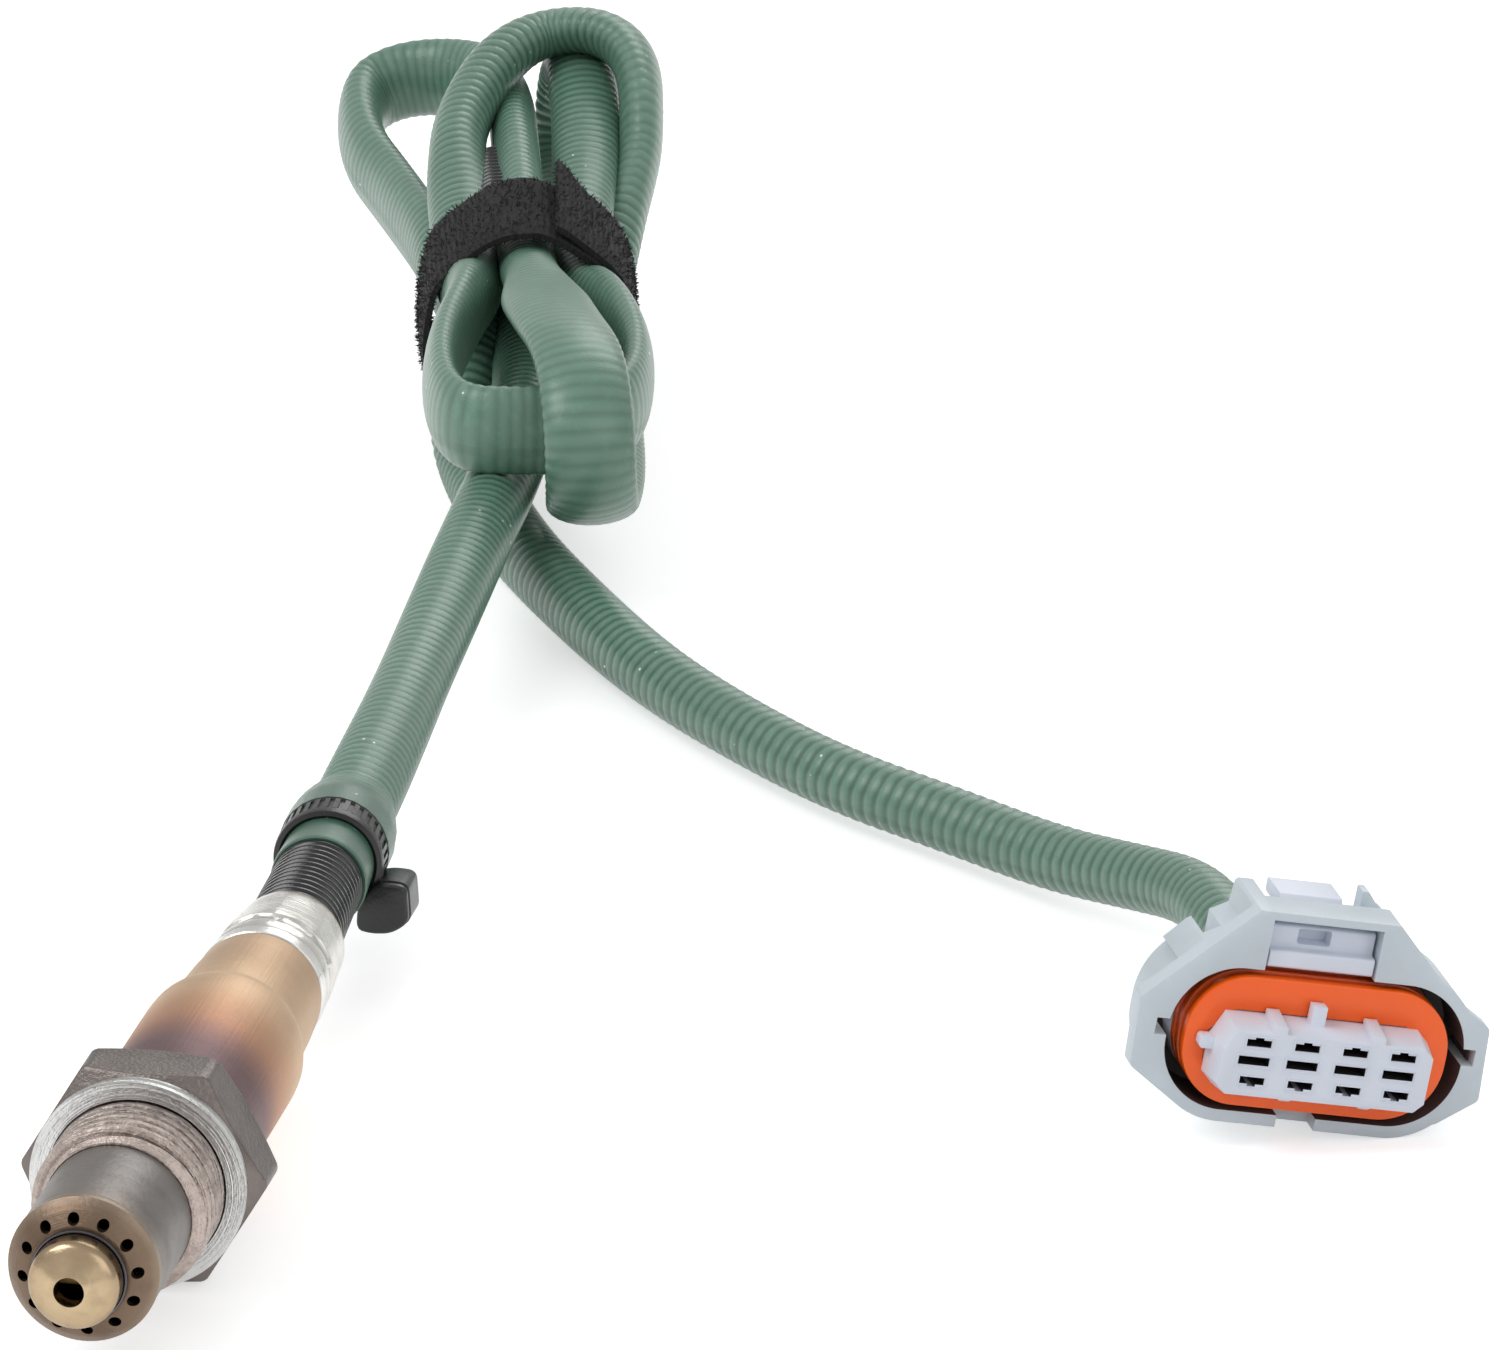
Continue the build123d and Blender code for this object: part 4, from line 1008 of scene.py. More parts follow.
UPRIGHT = (0.0, 0.0, 1.0)
ACROSS = (1.0, 0.0, 0.0)
PRESSES: tuple[Press, ...] = (
    Press(8.5, 13.4, ACROSS, 0.03, -0.3), Press(13.4, 15.5, ACROSS, -0.08, -0.15),
    Press(15.5, 24.5, UPRIGHT, 0.3, -0.44), Press(24.5, 26.6, UPRIGHT, 0.0, 0.05),
    Press(26.6, 29.5, (-0.16, 0.93, -0.33), 0.2, -0.18), Press(29.5, 34.5, (-0.16, 0.93, -0.33), 0.3, -0.34),
    Press(34.5, 36.5, ACROSS, 0.0, -0.1), Press(36.5, 43.9, (0.94, 0.35, 0.0), 0.3, -0.4),
    Press(43.9, 45.6, UPRIGHT, -0.22, -0.16), Press(45.6, 47.7, UPRIGHT, 0.1, -0.3),
    Press(47.7, 54.6, UPRIGHT, 0.22, -0.3), Press(54.6, 57.0, UPRIGHT, 0.0, -0.08),
)


@dataclass
class RibbedLead:
    """The ribbed lead from the cable tie through the hank to the connector, one spline from end to end."""

    route: list[Point] = field(default_factory=lambda: SENSOR_RUN + HANK_RUN + CONNECTOR_RUN)
    radius: float = 4.15
    connector_radius: float = 3.6
    taper_from: float = 900.0
    taper_to: float = 1020.0
    rib_pitch: float = 1.8
    hank_pitch: float = 1.5
    hank_span: tuple[float, float] = (160.0, 905.0)
    rib_height: float = 0.24
    rings_to_rib: int = 5
    segments: int = 26
    end_swell: float = 1.65
    start_swell: float = 0.35
    real_length: float = 1.1
    centre: np.ndarray = field(default_factory=lambda: np.zeros((0, 3)))

    def spline_points(self) -> np.ndarray:
        """Points along the route's NURBS spline, in millimetres."""
        curve = bpy.data.curves.new("lead_route", "CURVE")
        curve.dimensions = "3D"
        curve.resolution_u = 24
        spline = curve.splines.new("NURBS")
        spline.points.add(len(self.route) - 1)
        for point, place in zip(spline.points, self.route):
            point.co = (place[0] * MM, place[1] * MM, place[2] * MM, 1.0)
        spline.order_u = 3
        spline.use_endpoint_u = True
        holder = placed("lead_route", curve)
        mesh = evaluated_mesh(holder)
        points = np.array([v.co for v in mesh.vertices]) / MM
        bpy.data.objects.remove(holder)
        bpy.data.curves.remove(curve)
        bpy.data.meshes.remove(mesh)
        return points

    def ribbed_rings(self) -> tuple[np.ndarray, np.ndarray, np.ndarray, np.ndarray]:
        """The rings, equally many in every rib.

        Returns:
            Their centres, distances along the lead, places in the ribs' rhythm and places on the route.
        """
        points = self.spline_points()
        along = np.concatenate([[0], np.cumsum(np.linalg.norm(np.diff(points, axis=0), axis=1))])
        fine = np.linspace(0, along[-1], 6000)
        inside = ease(self.hank_span[0] - 30, self.hank_span[0], fine) * (
            1 - ease(self.hank_span[1], self.hank_span[1] + 30, fine))
        pitch = self.rib_pitch + (self.hank_pitch - self.rib_pitch) * inside
        rhythm = np.concatenate([[0], np.cumsum(np.diff(fine) / pitch[1:])])
        phase = np.linspace(0, rhythm[-1], int(rhythm[-1] * self.rings_to_rib))
        wanted = np.interp(phase, rhythm, fine)
        centres = np.stack([np.interp(wanted, along, points[:, k]) for k in range(3)], 1)
        share = np.linspace(0.5, len(self.route) - 1.5, len(points))
        return centres, wanted, phase, np.interp(wanted, along, share)

    @staticmethod
    def smoothed(values: np.ndarray, reach: int) -> np.ndarray:
        """Values averaged along their first axis over about reach neighbours each side."""
        weights = np.exp(-0.5 * (np.arange(-2 * reach, 2 * reach + 1) / reach) ** 2)
        weights /= weights.sum()
        padded = np.concatenate([np.repeat(values[:1], 2 * reach, 0), values, np.repeat(values[-1:], 2 * reach, 0)])
        return np.stack([np.convolve(padded[:, k], weights, "valid") for k in range(values.shape[1])], 1)

    def pressed_shape(self, share: np.ndarray, side: np.ndarray, up: np.ndarray) -> np.ndarray:
        """How much each ring widens along its press's axis and thins across it.

        Args:
            share: The rings' places on the route.
            side: Their side directions.
            up: Their up directions.

        Returns:
            Three numbers of a symmetric matrix for each ring: side by side, side by up and up by up.
        """
        shape = np.zeros((len(share), 3))
        for press in PRESSES:
            held = (share >= press.start) & (share < press.end)
            axis_s, axis_u = (side[held] @ press.axis), (up[held] @ press.axis)
            size = np.maximum(axis_s**2 + axis_u**2, 1e-6)
            shape[held, 0] = (press.wide * axis_s**2 + press.thin * axis_u**2) / size
            shape[held, 1] = (press.wide - press.thin) * axis_s * axis_u / size
            shape[held, 2] = (press.wide * axis_u**2 + press.thin * axis_s**2) / size
        return self.smoothed(shape, 18)

    def ring_radii(self, along: np.ndarray, phase: np.ndarray, shape: np.ndarray) -> tuple[np.ndarray, np.ndarray]:
        """The rings' radii.

        Args:
            along: Their distances along the lead.
            phase: Their places in the ribs' rhythm.
            shape: How they are pressed.

        Returns:
            The radii, and how much of a rib's crest each ring shows.
        """
        core = self.radius + (self.connector_radius - self.radius) * ease(self.taper_from, self.taper_to, along)
        swell = self.start_swell + self.end_swell * (1 - ease(4.0, 14.0, along))
        bulge = swell - self.start_swell * ease(15.0, 60.0, along)
        rib = (0.5 + 0.5 * np.cos(2 * math.pi * phase)) ** 0.8
        live = ease(5.0, 9.0, along)
        pressed = ease(0.15, 0.65, np.abs(shape[:, 0] - shape[:, 2]) + np.abs(shape[:, 1]))
        sway = (0.8 + 0.2 * np.sin(along * 0.071 + 1.3) * np.sin(along * 0.023)) * (1 - 0.6 * pressed)
        radius = core + bulge - self.rib_height * 0.5 + self.rib_height * rib * live * sway
        return radius, rib * live * (1 - 0.55 * pressed) + 0.4 * pressed

    def build(self) -> bpy.types.Object:
        """The lead's skin: rings of points round the spline, flattened where it bends tightly.

        Returns:
            The lead, with its rib attribute and skin coordinates.
        """
        centres, along, phase, share = self.ribbed_rings()
        self.centre = centres = self.smoothed(centres, 3)
        heading = np.gradient(centres, axis=0)
        heading /= np.linalg.norm(heading, axis=1)[:, None]
        side = np.zeros_like(centres)
        side[0] = square_to(heading[0])[0]
        for ring in range(1, len(centres)):
            carried = side[ring - 1] - heading[ring] * (side[ring - 1] @ heading[ring])
            side[ring] = carried / np.linalg.norm(carried)
        up = np.cross(heading, side)
        shape = self.pressed_shape(share, side, up)
        radius, crest = self.ring_radii(along, phase, shape)
        angles = full_turn(self.segments)
        cosines, sines = np.cos(angles)[None], np.sin(angles)[None]
        share_s = cosines * (1 + shape[:, :1]) + sines * shape[:, 1:2]
        share_u = cosines * shape[:, 1:2] + sines * (1 + shape[:, 2:3])
        offset = radius[:, None, None] * (share_s[..., None] * side[:, None] + share_u[..., None] * up[:, None])
        points = (centres[:, None] + offset).reshape(-1, 3)
        made = piece_of("ribbed_lead", points, capped_faces(len(centres), self.segments), GREEN_SKIN, 80.0)
        # The rib attribute sets how far each ring shows the crest colour rather than the painted shade of the valleys.
        attribute = made.data.attributes.new("rib", "FLOAT", "POINT")
        attribute.data.foreach_set("value", np.repeat(crest, self.segments).astype(np.float32))
        round_skin = np.arange(self.segments) / self.segments * 2 * math.pi * self.radius
        lay_skin(made.data, np.repeat(along, self.segments), np.tile(round_skin, len(centres)))
        return made

    def end_band(self) -> bpy.types.Object:
        """The smooth end of the green skin, drawn over the conduit inside the tie."""
        start, tip = np.array(CONDUIT_BEND), np.array(CONDUIT_TIP)
        axis = (tip - start) / np.linalg.norm(tip - start)
        side, up = square_to(axis)
        angles = full_turn(72)
        circle = np.cos(angles)[:, None] * side + np.sin(angles)[:, None] * up
        profile = ((-9.1, 4.8), (-9.15, 5.06), (-8.95, 5.18), (-8.4, 5.2), (-6.0, 5.1), (-3.4, 5.02), (0.6, 5.02),
                   (1.0, 4.9))
        # With no rib attribute, this band wears the valleys' painted shade colour all over.
        made = ringed_piece("lead_end_band", [tip + axis * y + radius * circle for y, radius in profile], GREEN_SKIN,
                            50.0, False)
        made.data.uv_layers.new(name="skin")
        return made

    def dress(self, connector_pieces: list[bpy.types.Object]) -> bpy.types.Object:
        """Args:
            connector_pieces: The connector's pieces. They are not used.

        Returns:
            The lead.
        """
        lead = enrol(self.build(), SENSOR, "green_sleeve", "cord_sensor_side", "cord_hank", "cord_connector_side")
        band = enrol(self.end_band(), SENSOR, "green_sleeve")
        return lead


# ---------------------------------------------------------------- cable tie
@dataclass
class CableTie:
    """The nylon tie that holds the green skin on the conduit: lip, toothed band, head and cut tail."""

    centre: Point = (-1.25, 96.1, 0.58)
    inner: float = 5.0
    outer: float = 5.95
    width: float = 4.4
    teeth: int = 34
    head_outline: tuple[tuple[float, float], ...] = (
        (2.0, -6.75), (3.7, -7.15), (6.0, -6.95), (7.95, -5.5), (7.8, -3.5), (7.6, -1.3), (5.2, -1.15), (3.8, -1.5),
        (2.2, -3.6))
    head_steps: tuple[tuple[float, float], ...] = (
        (93.2, 0.45), (93.3, 0.2), (93.5, 0.1), (94.0, 0.1), (94.12, 0.4), (94.3, 0.4), (94.42, 0.0), (98.5, 0.0),
        (98.85, 0.12), (99.0, 0.45))

    def frame_axes(self) -> tuple[np.ndarray, np.ndarray, np.ndarray]:
        """Side, up and lengthwise directions of the tie."""
        axis = np.array(self.centre) - np.array(CONDUIT_BEND)
        axis /= np.linalg.norm(axis)
        side = np.array((-1.0, 0.0, 0.0)) - axis * -axis[0]
        side /= np.linalg.norm(side)
        return side, np.cross(axis, side), axis

    def matrix(self) -> Matrix:
        """Places the tie's own X, Y and Z on its side, up and lengthwise directions, in metres."""
        return placing(self.frame_axes(), self.centre)

    def band(self) -> bpy.types.Object:
        """The band with its smooth front lip."""
        half = self.width / 2
        outline = [(-half, self.inner), (-half - 0.25, self.inner + 0.35), (-half - 0.1, self.outer - 0.1),
                   (-half + 0.35, self.outer), (-half + 0.8, self.outer), (-half + 0.95, self.outer - 0.25),
                   (half - 0.75, self.outer - 0.25), (half - 0.6, self.outer), (half - 0.1, self.outer),
                   (half, self.outer - 0.15), (half, self.inner)]
        angles = full_turn(120)
        rings = [np.stack([r * np.cos(angles), r * np.sin(angles), np.full(120, z)], 1) for z, r in outline]
        made = ringed_piece("tie_band", rings, TIE_BLACK, 28.0)
        made.data.transform(self.matrix())
        return made

    def teeth_row(self) -> bpy.types.Object:
        """The band's cross teeth."""
        def tooth(graph: NodeGraph) -> Wire:
            """One tooth, a ridge across the band."""
            body = graph.node("GeometryNodeMeshCube", {}, {"Size": (0.5 * MM, 0.55 * MM, (self.width - 1.7) * MM)})
            return body["Mesh"]

        recipe = round_row_recipe("tie_teeth", TIE_BLACK, self.teeth, self.outer - 0.28, tooth)
        made = recipe.bake("tie_teeth", None, 20.0)
        made.data.transform(self.matrix())
        made.data.transform(Matrix.Translation(Vector(self.frame_axes()[2]) * 0.1 * MM))
        return made

    def head(self) -> bpy.types.Object:
        """The head: a block with rounded corners that stands beside the band, its face plate cut off by a groove."""
        outline = np.array(self.head_outline)
        for _ in range(3):
            following = np.roll(outline, -1, 0)
            outline = np.stack([0.78 * outline + 0.22 * following, 0.22 * outline + 0.78 * following], 1).reshape(-1, 2)
        middle = outline.mean(0)
        reach = np.linalg.norm(outline - middle, axis=1)[:, None]
        rings = []
        for y, inset in self.head_steps:
            ring = middle + (outline - middle) * (1 - inset / reach)
            rings.append(np.stack([ring[:, 0], np.full(len(ring), y), ring[:, 1]], 1))
        return piece_of("tie_head", np.concatenate(rings), capped_faces(len(rings), len(outline)), TIE_BLACK, 50.0)

    def dress(self) -> None:
        """Builds and enrols the tie."""
        enrol(self.band(), SENSOR, "black_plastic", "cable_tie")
        enrol(self.teeth_row(), SENSOR, "black_plastic")
        enrol(self.head(), SENSOR, "black_plastic")


# ---------------------------------------------------------------- strap
@dataclass
class LoopStrap:
    """The hook-and-loop strap round the hank, with its tail lapped over on top."""

    centre: Point = (-14.9, 267.3, 8.5)
    turn: float = 13.2
    rise: float = 5.7
    strands: tuple[tuple[float, float], ...] = ((-6.9, 3.4), (-0.3, 8.0), (6.2, 3.6), (-7.4, -4.4), (0.0, -4.6),
                                                (6.6, -4.4))
    strand_radius: float = 4.25
    width: float = 17.0
    thick: float = 1.1
    flat_length: float = 0.105
    pile_density: float = 2.2
    pile_seed: int = 11

    def directions(self) -> tuple[np.ndarray, np.ndarray, np.ndarray]:
        """Side, up and lengthwise directions of the bundle."""
        turn, rise = math.radians(self.turn), math.radians(self.rise)
        side = np.array((math.cos(turn), math.sin(turn), 0.0))
        level = np.array((-math.sin(turn), math.cos(turn), 0.0))
        along = level * math.cos(rise) + np.array((0, 0, math.sin(rise)))
        return side, np.cross(along, side) * -1.0, along

    def girth(self, steps: int = 180) -> np.ndarray:
        """The strap's inner line round the strands, as side and up pairs at even angles."""
        angles = full_turn(steps)
        heading = np.stack([np.cos(angles), np.sin(angles)], 1)
        reach = (np.array(self.strands) @ heading.T).max(0) + self.strand_radius
        for _ in range(60):
            reach = (np.roll(reach, 1) + 2 * reach + np.roll(reach, -1)) / 4
        slope = (np.roll(reach, -1) - np.roll(reach, 1)) / (2 * (angles[1] - angles[0]))
        line = heading * reach[:, None] + np.stack([-heading[:, 1], heading[:, 0]], 1) * slope[:, None]
        for _ in range(3):
            line = (np.roll(line, 1, 0) + 2 * line + np.roll(line, -1, 0)) / 4
        return line

    def ribbon(self, name: str, line: np.ndarray, closed: bool, lift: Callable[[float, float], float],
               edge: Callable[[float, float], float]) -> bpy.types.Object:
        """A band of cloth on a line across the bundle.

        Args:
            name: The piece's name.
            line: Side and up pairs of its inner face.
            closed: Whether its end meets its start.
            lift: How far a place stands off the line, by its shares round and across.
            edge: How far an edge is moved lengthwise, by its shares round and across.

        Returns:
            The band, a closed solid with UV.
        """
        side, up, along = self.directions()
        steps, columns = len(line), 19
        tangent = np.roll(line, -1, 0) - np.roll(line, 1, 0)
        if not closed:
            tangent[0], tangent[-1] = line[1] - line[0], line[-1] - line[-2]
        tangent /= np.linalg.norm(tangent, axis=1)[:, None]
        normal = np.stack([tangent[:, 1], -tangent[:, 0]], 1)
        rings = []
        for step in range(steps):
            share = step / steps
            ring = []
            for layer in (1, 0):
                for column in (range(columns) if layer else range(columns - 1, -1, -1)):
                    across = column / (columns - 1) * 2 - 1
                    crown = 1 - 0.35 * abs(across) ** 6
                    off = lift(share, across) + (self.thick * crown if layer else 0.0)
                    place = line[step] + normal[step] * off
                    length = across * self.width / 2 + edge(share, across)
                    ring.append(np.array(self.centre) + place[0] * side + place[1] * up + length * along)
            rings.append(np.array(ring))
        count = 2 * columns
        faces = grid_faces(steps, count, True) if closed else capped_faces(steps, count)
        made = piece_of(name, np.concatenate(rings), faces, STRAP_PILE, 60.0)
        length = np.concatenate([[0], np.cumsum(np.linalg.norm(np.diff(line, axis=0), axis=1))])
        lay_skin(made.data, np.repeat(length, count), np.tile(np.arange(count), steps))
        return made

    def dress(self) -> None:
        line = self.girth()
        band = self.ribbon("strap_band", line, True, lambda s, a: 0.08 * math.sin(s * 63) * abs(a),
                           lambda s, a: 0.25 * math.sin(s * 19) + 0.2 * math.sin(s * 47 + a))
        lap = np.roll(line, 30, 0)[:65]

        def lift(share: float, across: float) -> float:
            """The tail's height over the band: its end stands up, most at its far corner."""
            return 0.95 + 1.9 * ease(0.86, 1.0, share) * (0.3 + 0.7 * (across + 1) / 2)

        tail = self.ribbon("strap_tail", lap, False, lift, lambda s, a: 0.4 + 0.8 * ease(0.8, 1.0, s) * (a + 1) / 2)
        pile = pile_recipe(STRAP_PILE, self.pile_density, 0.5, self.pile_seed)
        fuzz = pile.bake("strap_pile", band, 180.0)
        tail_fuzz = pile.bake("strap_tail_pile", tail, 180.0)
        enrol(band, SENSOR, "black_textile", "strap")
        for piece in (tail, fuzz, tail_fuzz):
            enrol(piece, SENSOR, "black_textile")


# ---------------------------------------------------------------- connector
class Opening(Enum):
    """The three kinds of opening in the connector's face."""

    SLIT = "slit"
    UPPER_KEY = "upper_key"
    LOWER_KEY = "lower_key"


@dataclass
class Connector:
    """The four-way connector: shell, latch lever, core, orange seal, contacts and rear cover."""

    origin: Point = (110.35, 64.07, -1.37)
    turn: float = 22.5
    roll: float = 9.4
    pitch: float = 5.2
    columns: int = 4
    frame_rod: float = 0.13
    core_half: tuple[float, float] = (11.2, 3.5)
    core_middle: float = -0.35
    core_flare: float = 0.5
    core_length: float = 4.4
    corner_cut: float = 2.3
    corner_left: float = 1.0

    def matrix(self) -> Matrix:
        """Places the connector's own X, Y up and Z towards its open end, in metres."""
        turn, roll = math.radians(self.turn), math.radians(self.roll)
        level = Vector((math.cos(turn), math.sin(turn), 0))
        axis = Vector((math.sin(turn), -math.cos(turn), 0))
        across = level * math.cos(roll) - Vector((0, 0, math.sin(roll)))
        up = level * math.sin(roll) + Vector((0, 0, math.cos(roll)))
        return placing((across, up, axis), self.origin)

    def frames(self) -> bpy.types.Object:
        """Thin raised frames round the openings, one row of each kind."""
        sizes = {Opening.SLIT: (3.7, 1.3, 0.0, 0.0), Opening.UPPER_KEY: (2.8, 1.2, 2.05, 0.2),
                 Opening.LOWER_KEY: (2.8, 1.2, -2.25, 0.2)}
        recipe = Recipe("opening_frames", {"Count": self.columns, "Pitch": self.pitch * MM})
        graph, given = recipe.graph, recipe.given
        start = given["Pitch"] * (given["Count"] - 1.0) * -0.5
        rows = []
        for width, height, level, shift in sizes.values():
            places = graph.node("GeometryNodeMeshLine", {"mode": "OFFSET"}, {
                "Count": given["Count"], "Start Location": graph.vector(start + shift * MM, level * MM),
                "Offset": graph.vector(given["Pitch"])})["Mesh"]
            outline = graph.node("GeometryNodeCurvePrimitiveQuadrilateral", {}, {
                "Width": width * MM, "Height": height * MM})["Curve"]
            rod = graph.node("GeometryNodeCurvePrimitiveCircle", {}, {
                "Resolution": 8, "Radius": self.frame_rod * MM})["Curve"]
            ring = graph.node("GeometryNodeCurveToMesh", {}, {"Curve": outline, "Profile Curve": rod})["Mesh"]
            rows.append(graph.node("GeometryNodeInstanceOnPoints", {}, {"Points": places,
                                                                        "Instance": ring})["Instances"])
        joined = graph.node("GeometryNodeJoinGeometry")
        for row in rows:
            graph.feed(joined.node.inputs[0], row)
        recipe.finish(joined["Geometry"], CORE_PLASTIC)
        made = recipe.bake("opening_frames", None, 40.0)
        made.data.transform(self.matrix())
        return made

    def square_up(self, piece: bpy.types.Object) -> None:
        """Makes the core's cut corners smaller in front of the seal, all but the one above its side tab."""
        outward = self.matrix()
        inward = outward.inverted()
        half_x, half_y = self.core_half
        moved = self.corner_cut - self.corner_left
        for vert in piece.data.vertices:
            x, y, z = inward @ vert.co / MM
            if z < -self.core_length - 0.1:
                continue
            flare = self.core_flare * min(max(-z / self.core_length, 0.0), 1.0)
            edge_x, edge_y, corner = half_x + flare, half_y + flare, self.corner_cut + flare / 2
            away_x, away_y = abs(x), abs(y - self.core_middle)
            if abs(away_x - (edge_x - corner)) < 0.4 and away_y > edge_y - 0.35:
                x += math.copysign(moved, x)
            elif abs(away_y - (edge_y - corner)) < 0.4 and away_x > edge_x - 0.35 and not (x < 0 < y):
                y += math.copysign(moved, y - self.core_middle)
            else:
                continue
            vert.co = outward @ (Vector((x, y, z)) * MM)

    def key_back(self) -> bpy.types.Object:
        """The wall that closes the right key notch from outside, coloured with the mouth's painted shade."""
        corners = np.array([(x, y, z) for x in (17.1, 18.0) for y in (-0.1, 2.1) for z in (-13.5, -6.8)])
        faces = [(0, 1, 3, 2), (4, 6, 7, 5), (0, 4, 5, 1), (2, 3, 7, 6), (0, 2, 6, 4), (1, 5, 7, 3)]
        made = piece_of("key_notch_back", corners, faces, MOUTH_SHADE, 30.0)
        made.data.transform(self.matrix())
        return made

    def shade(self, piece: bpy.types.Object, finish: Finish, chosen: Callable[[float, float, float], bool]) -> None:
        """Gives some of a piece's faces a second finish, a dark colour painted as shade.

        Args:
            piece: The piece.
            finish: The second finish, the painted shade.
            chosen: Whether a face is meant, by its centre in the connector's own millimetres.
        """
        piece.data.materials.append(finish.material())
        inward = self.matrix().inverted()
        for face in piece.data.polygons:
            if chosen(*(inward @ face.center / MM)):
                face.material_index = 1

    @staticmethod
    def in_openings(x: float, y: float, z: float) -> bool:
        """Whether a face of the core lies inside its openings, where it gets painted shade."""
        return z < -0.12 and abs(x) < 10.3 and -2.8 < y < 2.8

    @staticmethod
    def in_mouth(x: float, y: float, z: float) -> bool:
        """Whether a face of the shell lies deep in its mouth, where it gets painted shade."""
        return -14.5 < z < -5.6 and math.hypot(max(abs(x) - 8.8, 0.0), max(abs(y - 0.4) - 0.6, 0.0)) < 7.4

    def dress(self) -> list[bpy.types.Object]:
        """Builds and enrols the connector.

        Returns:
            Its pieces.
        """
        made = []
        # Painted shade on the faces deep in the core's openings and in the shell's mouth, where shadow falls.
        shades = {"connector_core": (OPENING_SHADE, self.in_openings), "connector_shell": (MOUTH_SHADE, self.in_mouth)}
        for node, width, finish, slot in (("connector_shell", 0.22, SHELL_PLASTIC, "shell_plastic"),
                                          ("connector_core", 0.12, CORE_PLASTIC, "core_plastic"),
                                          ("seal_ring", 0.5, SEAL_SILICONE, "orange_silicone"),
                                          ("rear_cover", 0.22, SHELL_PLASTIC, "shell_plastic"),
                                          ("latch_lever", 0.3, CORE_PLASTIC, "core_plastic")):
            body = LATCH if node == "latch_lever" else SENSOR
            piece = enrol(softened_copy(node, width, finish), body, slot, node)
            if node == "connector_core":
                self.square_up(piece)
            if node in shades:
                self.shade(piece, *shades[node])
            made.append(piece)
        made.append(enrol(self.frames(), SENSOR, "core_plastic"))
        made.append(enrol(self.key_back(), SENSOR, "shell_plastic"))
        for number in range(1, self.columns + 1):
            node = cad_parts[f"contact_terminal_{number}"]
            TERMINAL_METAL.wear(node)
            made.append(node)
        return made


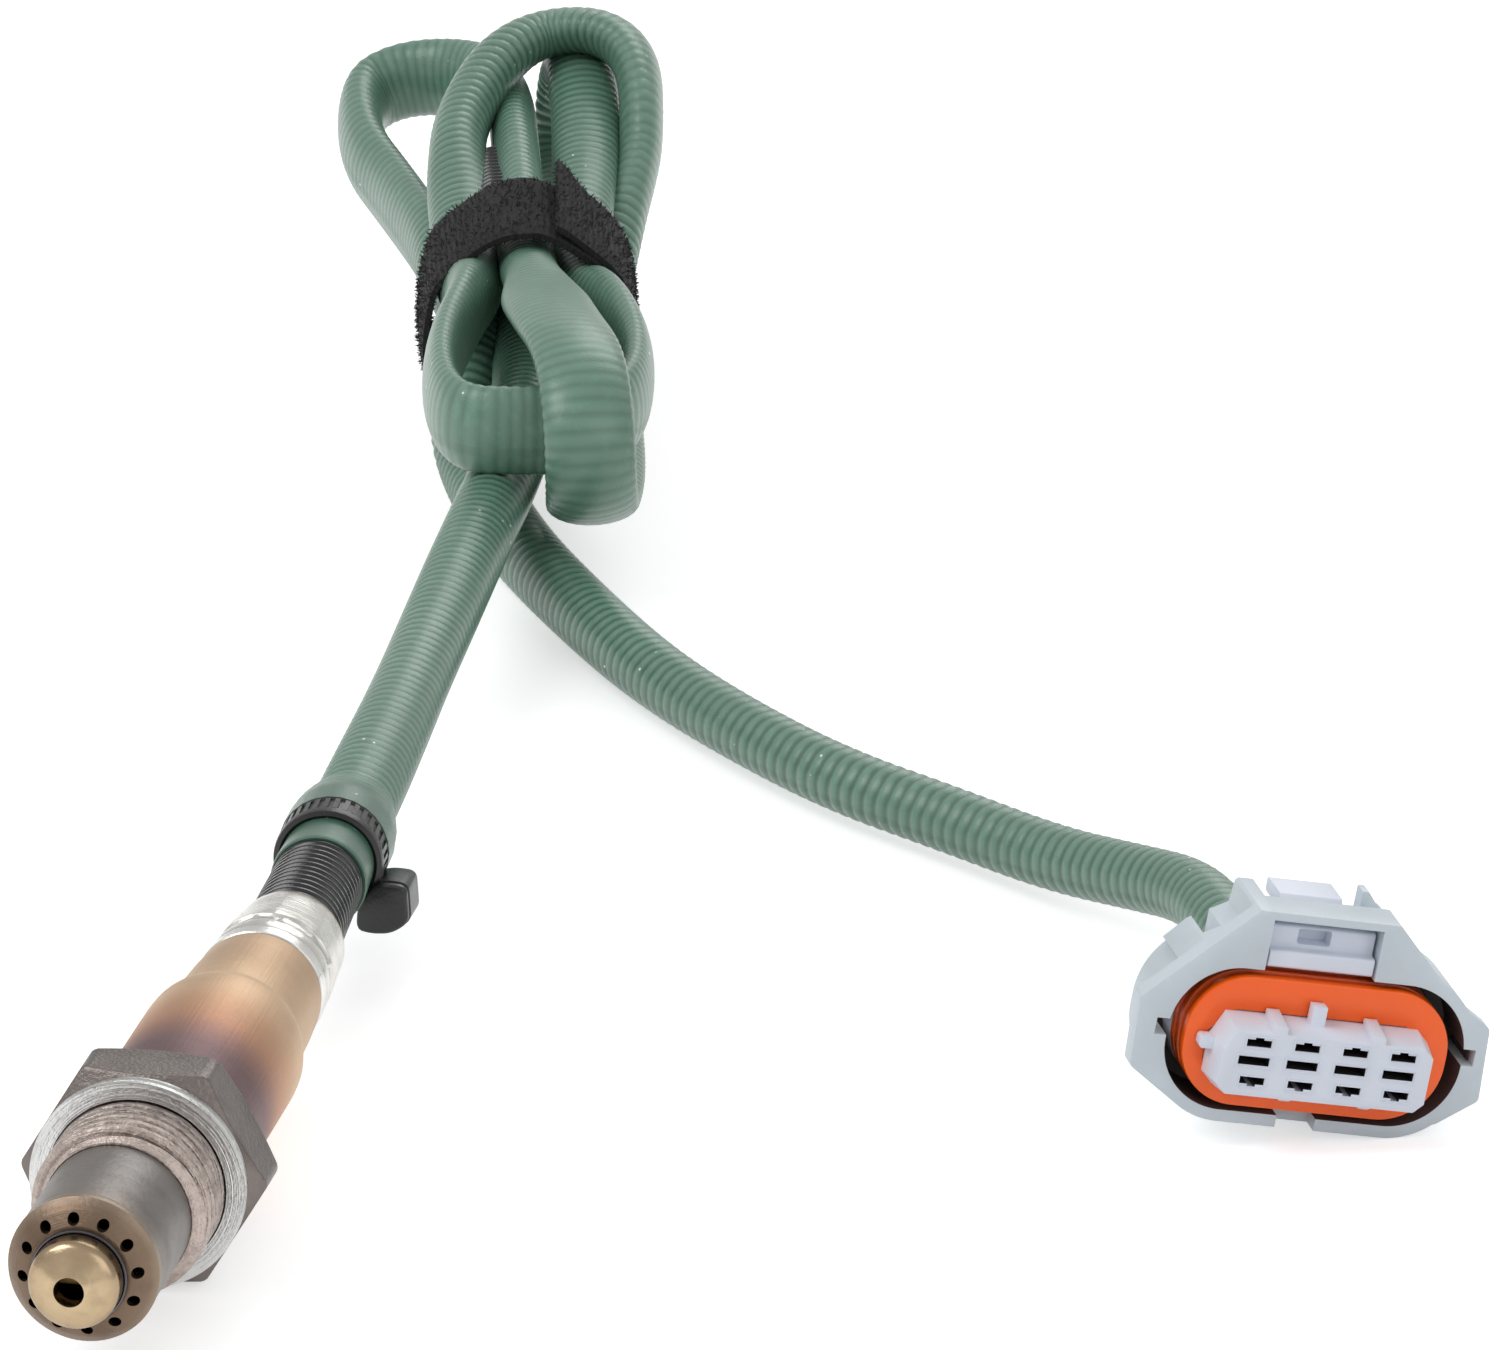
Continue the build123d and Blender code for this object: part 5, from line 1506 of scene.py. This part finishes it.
# ---------------------------------------------------------------- stage
@dataclass
class Stage:
    """The pale floor, the soft lights and the camera."""

    eye: Point = (251.0, -1078.8, 444.2)
    yaw: float = -10.01
    pitch: float = 19.37
    roll: float = 1.41
    focal_pixels: float = 12000.0
    frame_pixels: float = 1500.0
    sensor_width: float = 36.0
    target: Point = (0.02, 0.13, 0.0)
    floor_half: float = 6.0
    floor_drop: float = 0.0001
    floor_lift: float = 0.55
    sky: float = 0.55
    sky_seen: float = 0.45
    sky_mirrored: float = 0.15

    def camera(self) -> None:
        """Creates the camera and makes it the scene's."""
        yaw, pitch, roll = (math.radians(a) for a in (self.yaw, self.pitch, self.roll))
        ahead = Vector((math.sin(yaw) * math.cos(pitch), math.cos(yaw) * math.cos(pitch), -math.sin(pitch)))
        right = Vector((math.cos(yaw), -math.sin(yaw), 0))
        up = right.cross(ahead)
        right, up = right * math.cos(roll) + up * math.sin(roll), up * math.cos(roll) - right * math.sin(roll)
        data = bpy.data.cameras.new("camera")
        data.sensor_width = self.sensor_width
        data.lens = self.focal_pixels / self.frame_pixels * data.sensor_width
        data.clip_start, data.clip_end = 0.01, 20.0
        made = placed("camera", data)
        made.matrix_world = placing((right, up, -ahead), self.eye)
        bpy.context.scene.camera = made

    def lamp(self, name: str, place: Point, size: float, watts: float) -> None:
        """Adds a square area light that faces the middle of the part.

        Args:
            name: Its name.
            place: Where it stands, in metres.
            size: Its side in metres.
            watts: Its power.
        """
        data = bpy.data.lights.new(name, "AREA")
        data.size = size
        data.energy = watts
        facing = (Vector(self.target) - Vector(place)).to_track_quat("-Z", "Y").to_matrix().to_4x4()
        placed(name, data).matrix_world = Matrix.Translation(Vector(place)) @ facing

    def floor(self) -> None:
        """The pale floor. The camera and mirrors see it white where no shadow falls."""
        half = self.floor_half
        mesh = bpy.data.meshes.new("floor")
        z = FLOOR_Z - self.floor_drop
        mesh.from_pydata([(-half, -half, z), (half, -half, z), (half, half, z), (-half, half, z)], [], [(0, 1, 2, 3)])
        made = placed("floor", mesh)
        material = bpy.data.materials.new("pale_floor")
        material.use_nodes = True
        graph = NodeGraph(material.node_tree)
        plain = graph.node("ShaderNodeBsdfDiffuse", {}, {"Color": (0.8, 0.8, 0.8, 1.0)})["BSDF"]
        lifted = graph.node("ShaderNodeEmission", {}, {"Color": WHITE, "Strength": self.floor_lift})["Emission"]
        both = graph.node("ShaderNodeAddShader", {}, {0: plain, 1: lifted})["Shader"]
        rays = graph.node("ShaderNodeLightPath")
        mirrored = rays["Is Camera Ray"].maths("MAXIMUM", rays["Is Glossy Ray"])
        seen = mirrored.maths("MAXIMUM", rays["Is Transmission Ray"])
        shown = graph.node("ShaderNodeMixShader", {}, {0: seen, 1: plain, 2: both})["Shader"]
        graph.node("ShaderNodeOutputMaterial", {}, {"Surface": shown})
        made.data.materials.append(material)

    def world(self) -> None:
        """Soft light from all round, white where the camera or a mirror sees it."""
        world = bpy.data.worlds.new("studio")
        bpy.context.scene.world = world
        world.use_nodes = True
        graph = NodeGraph(world.node_tree)
        rays = graph.node("ShaderNodeLightPath")
        seen = rays["Is Camera Ray"].maths("MAXIMUM", rays["Is Transmission Ray"])
        strength = self.sky + seen * self.sky_seen + rays["Is Glossy Ray"] * self.sky_mirrored
        shine = graph.node("ShaderNodeBackground", {}, {"Color": WHITE, "Strength": strength})["Background"]
        graph.node("ShaderNodeOutputWorld", {}, {"Surface": shine})

    def build(self) -> None:
        """Sets the stage."""
        self.camera()
        self.floor()
        self.world()
        self.lamp("key_light", (-0.9, -0.5, 1.3), 0.9, 11.0)
        self.lamp("fill_light", (1.2, -0.9, 0.8), 1.2, 4.5)
        self.lamp("rear_light", (0.2, 1.4, 1.0), 0.8, 5.0)
        bpy.context.scene.view_settings.view_transform = "Standard"


def main() -> None:
    """Builds the stage and every piece of the sensor in order."""
    logging.basicConfig(level=logging.INFO, format="%(name)s: %(message)s")
    Stage().build()
    connector = Connector().dress()
    RibbedLead().dress(connector)
    SensorBody().dress()
    CableTie().dress()
    LoopStrap().dress()


if __name__ == "__main__":
    main()
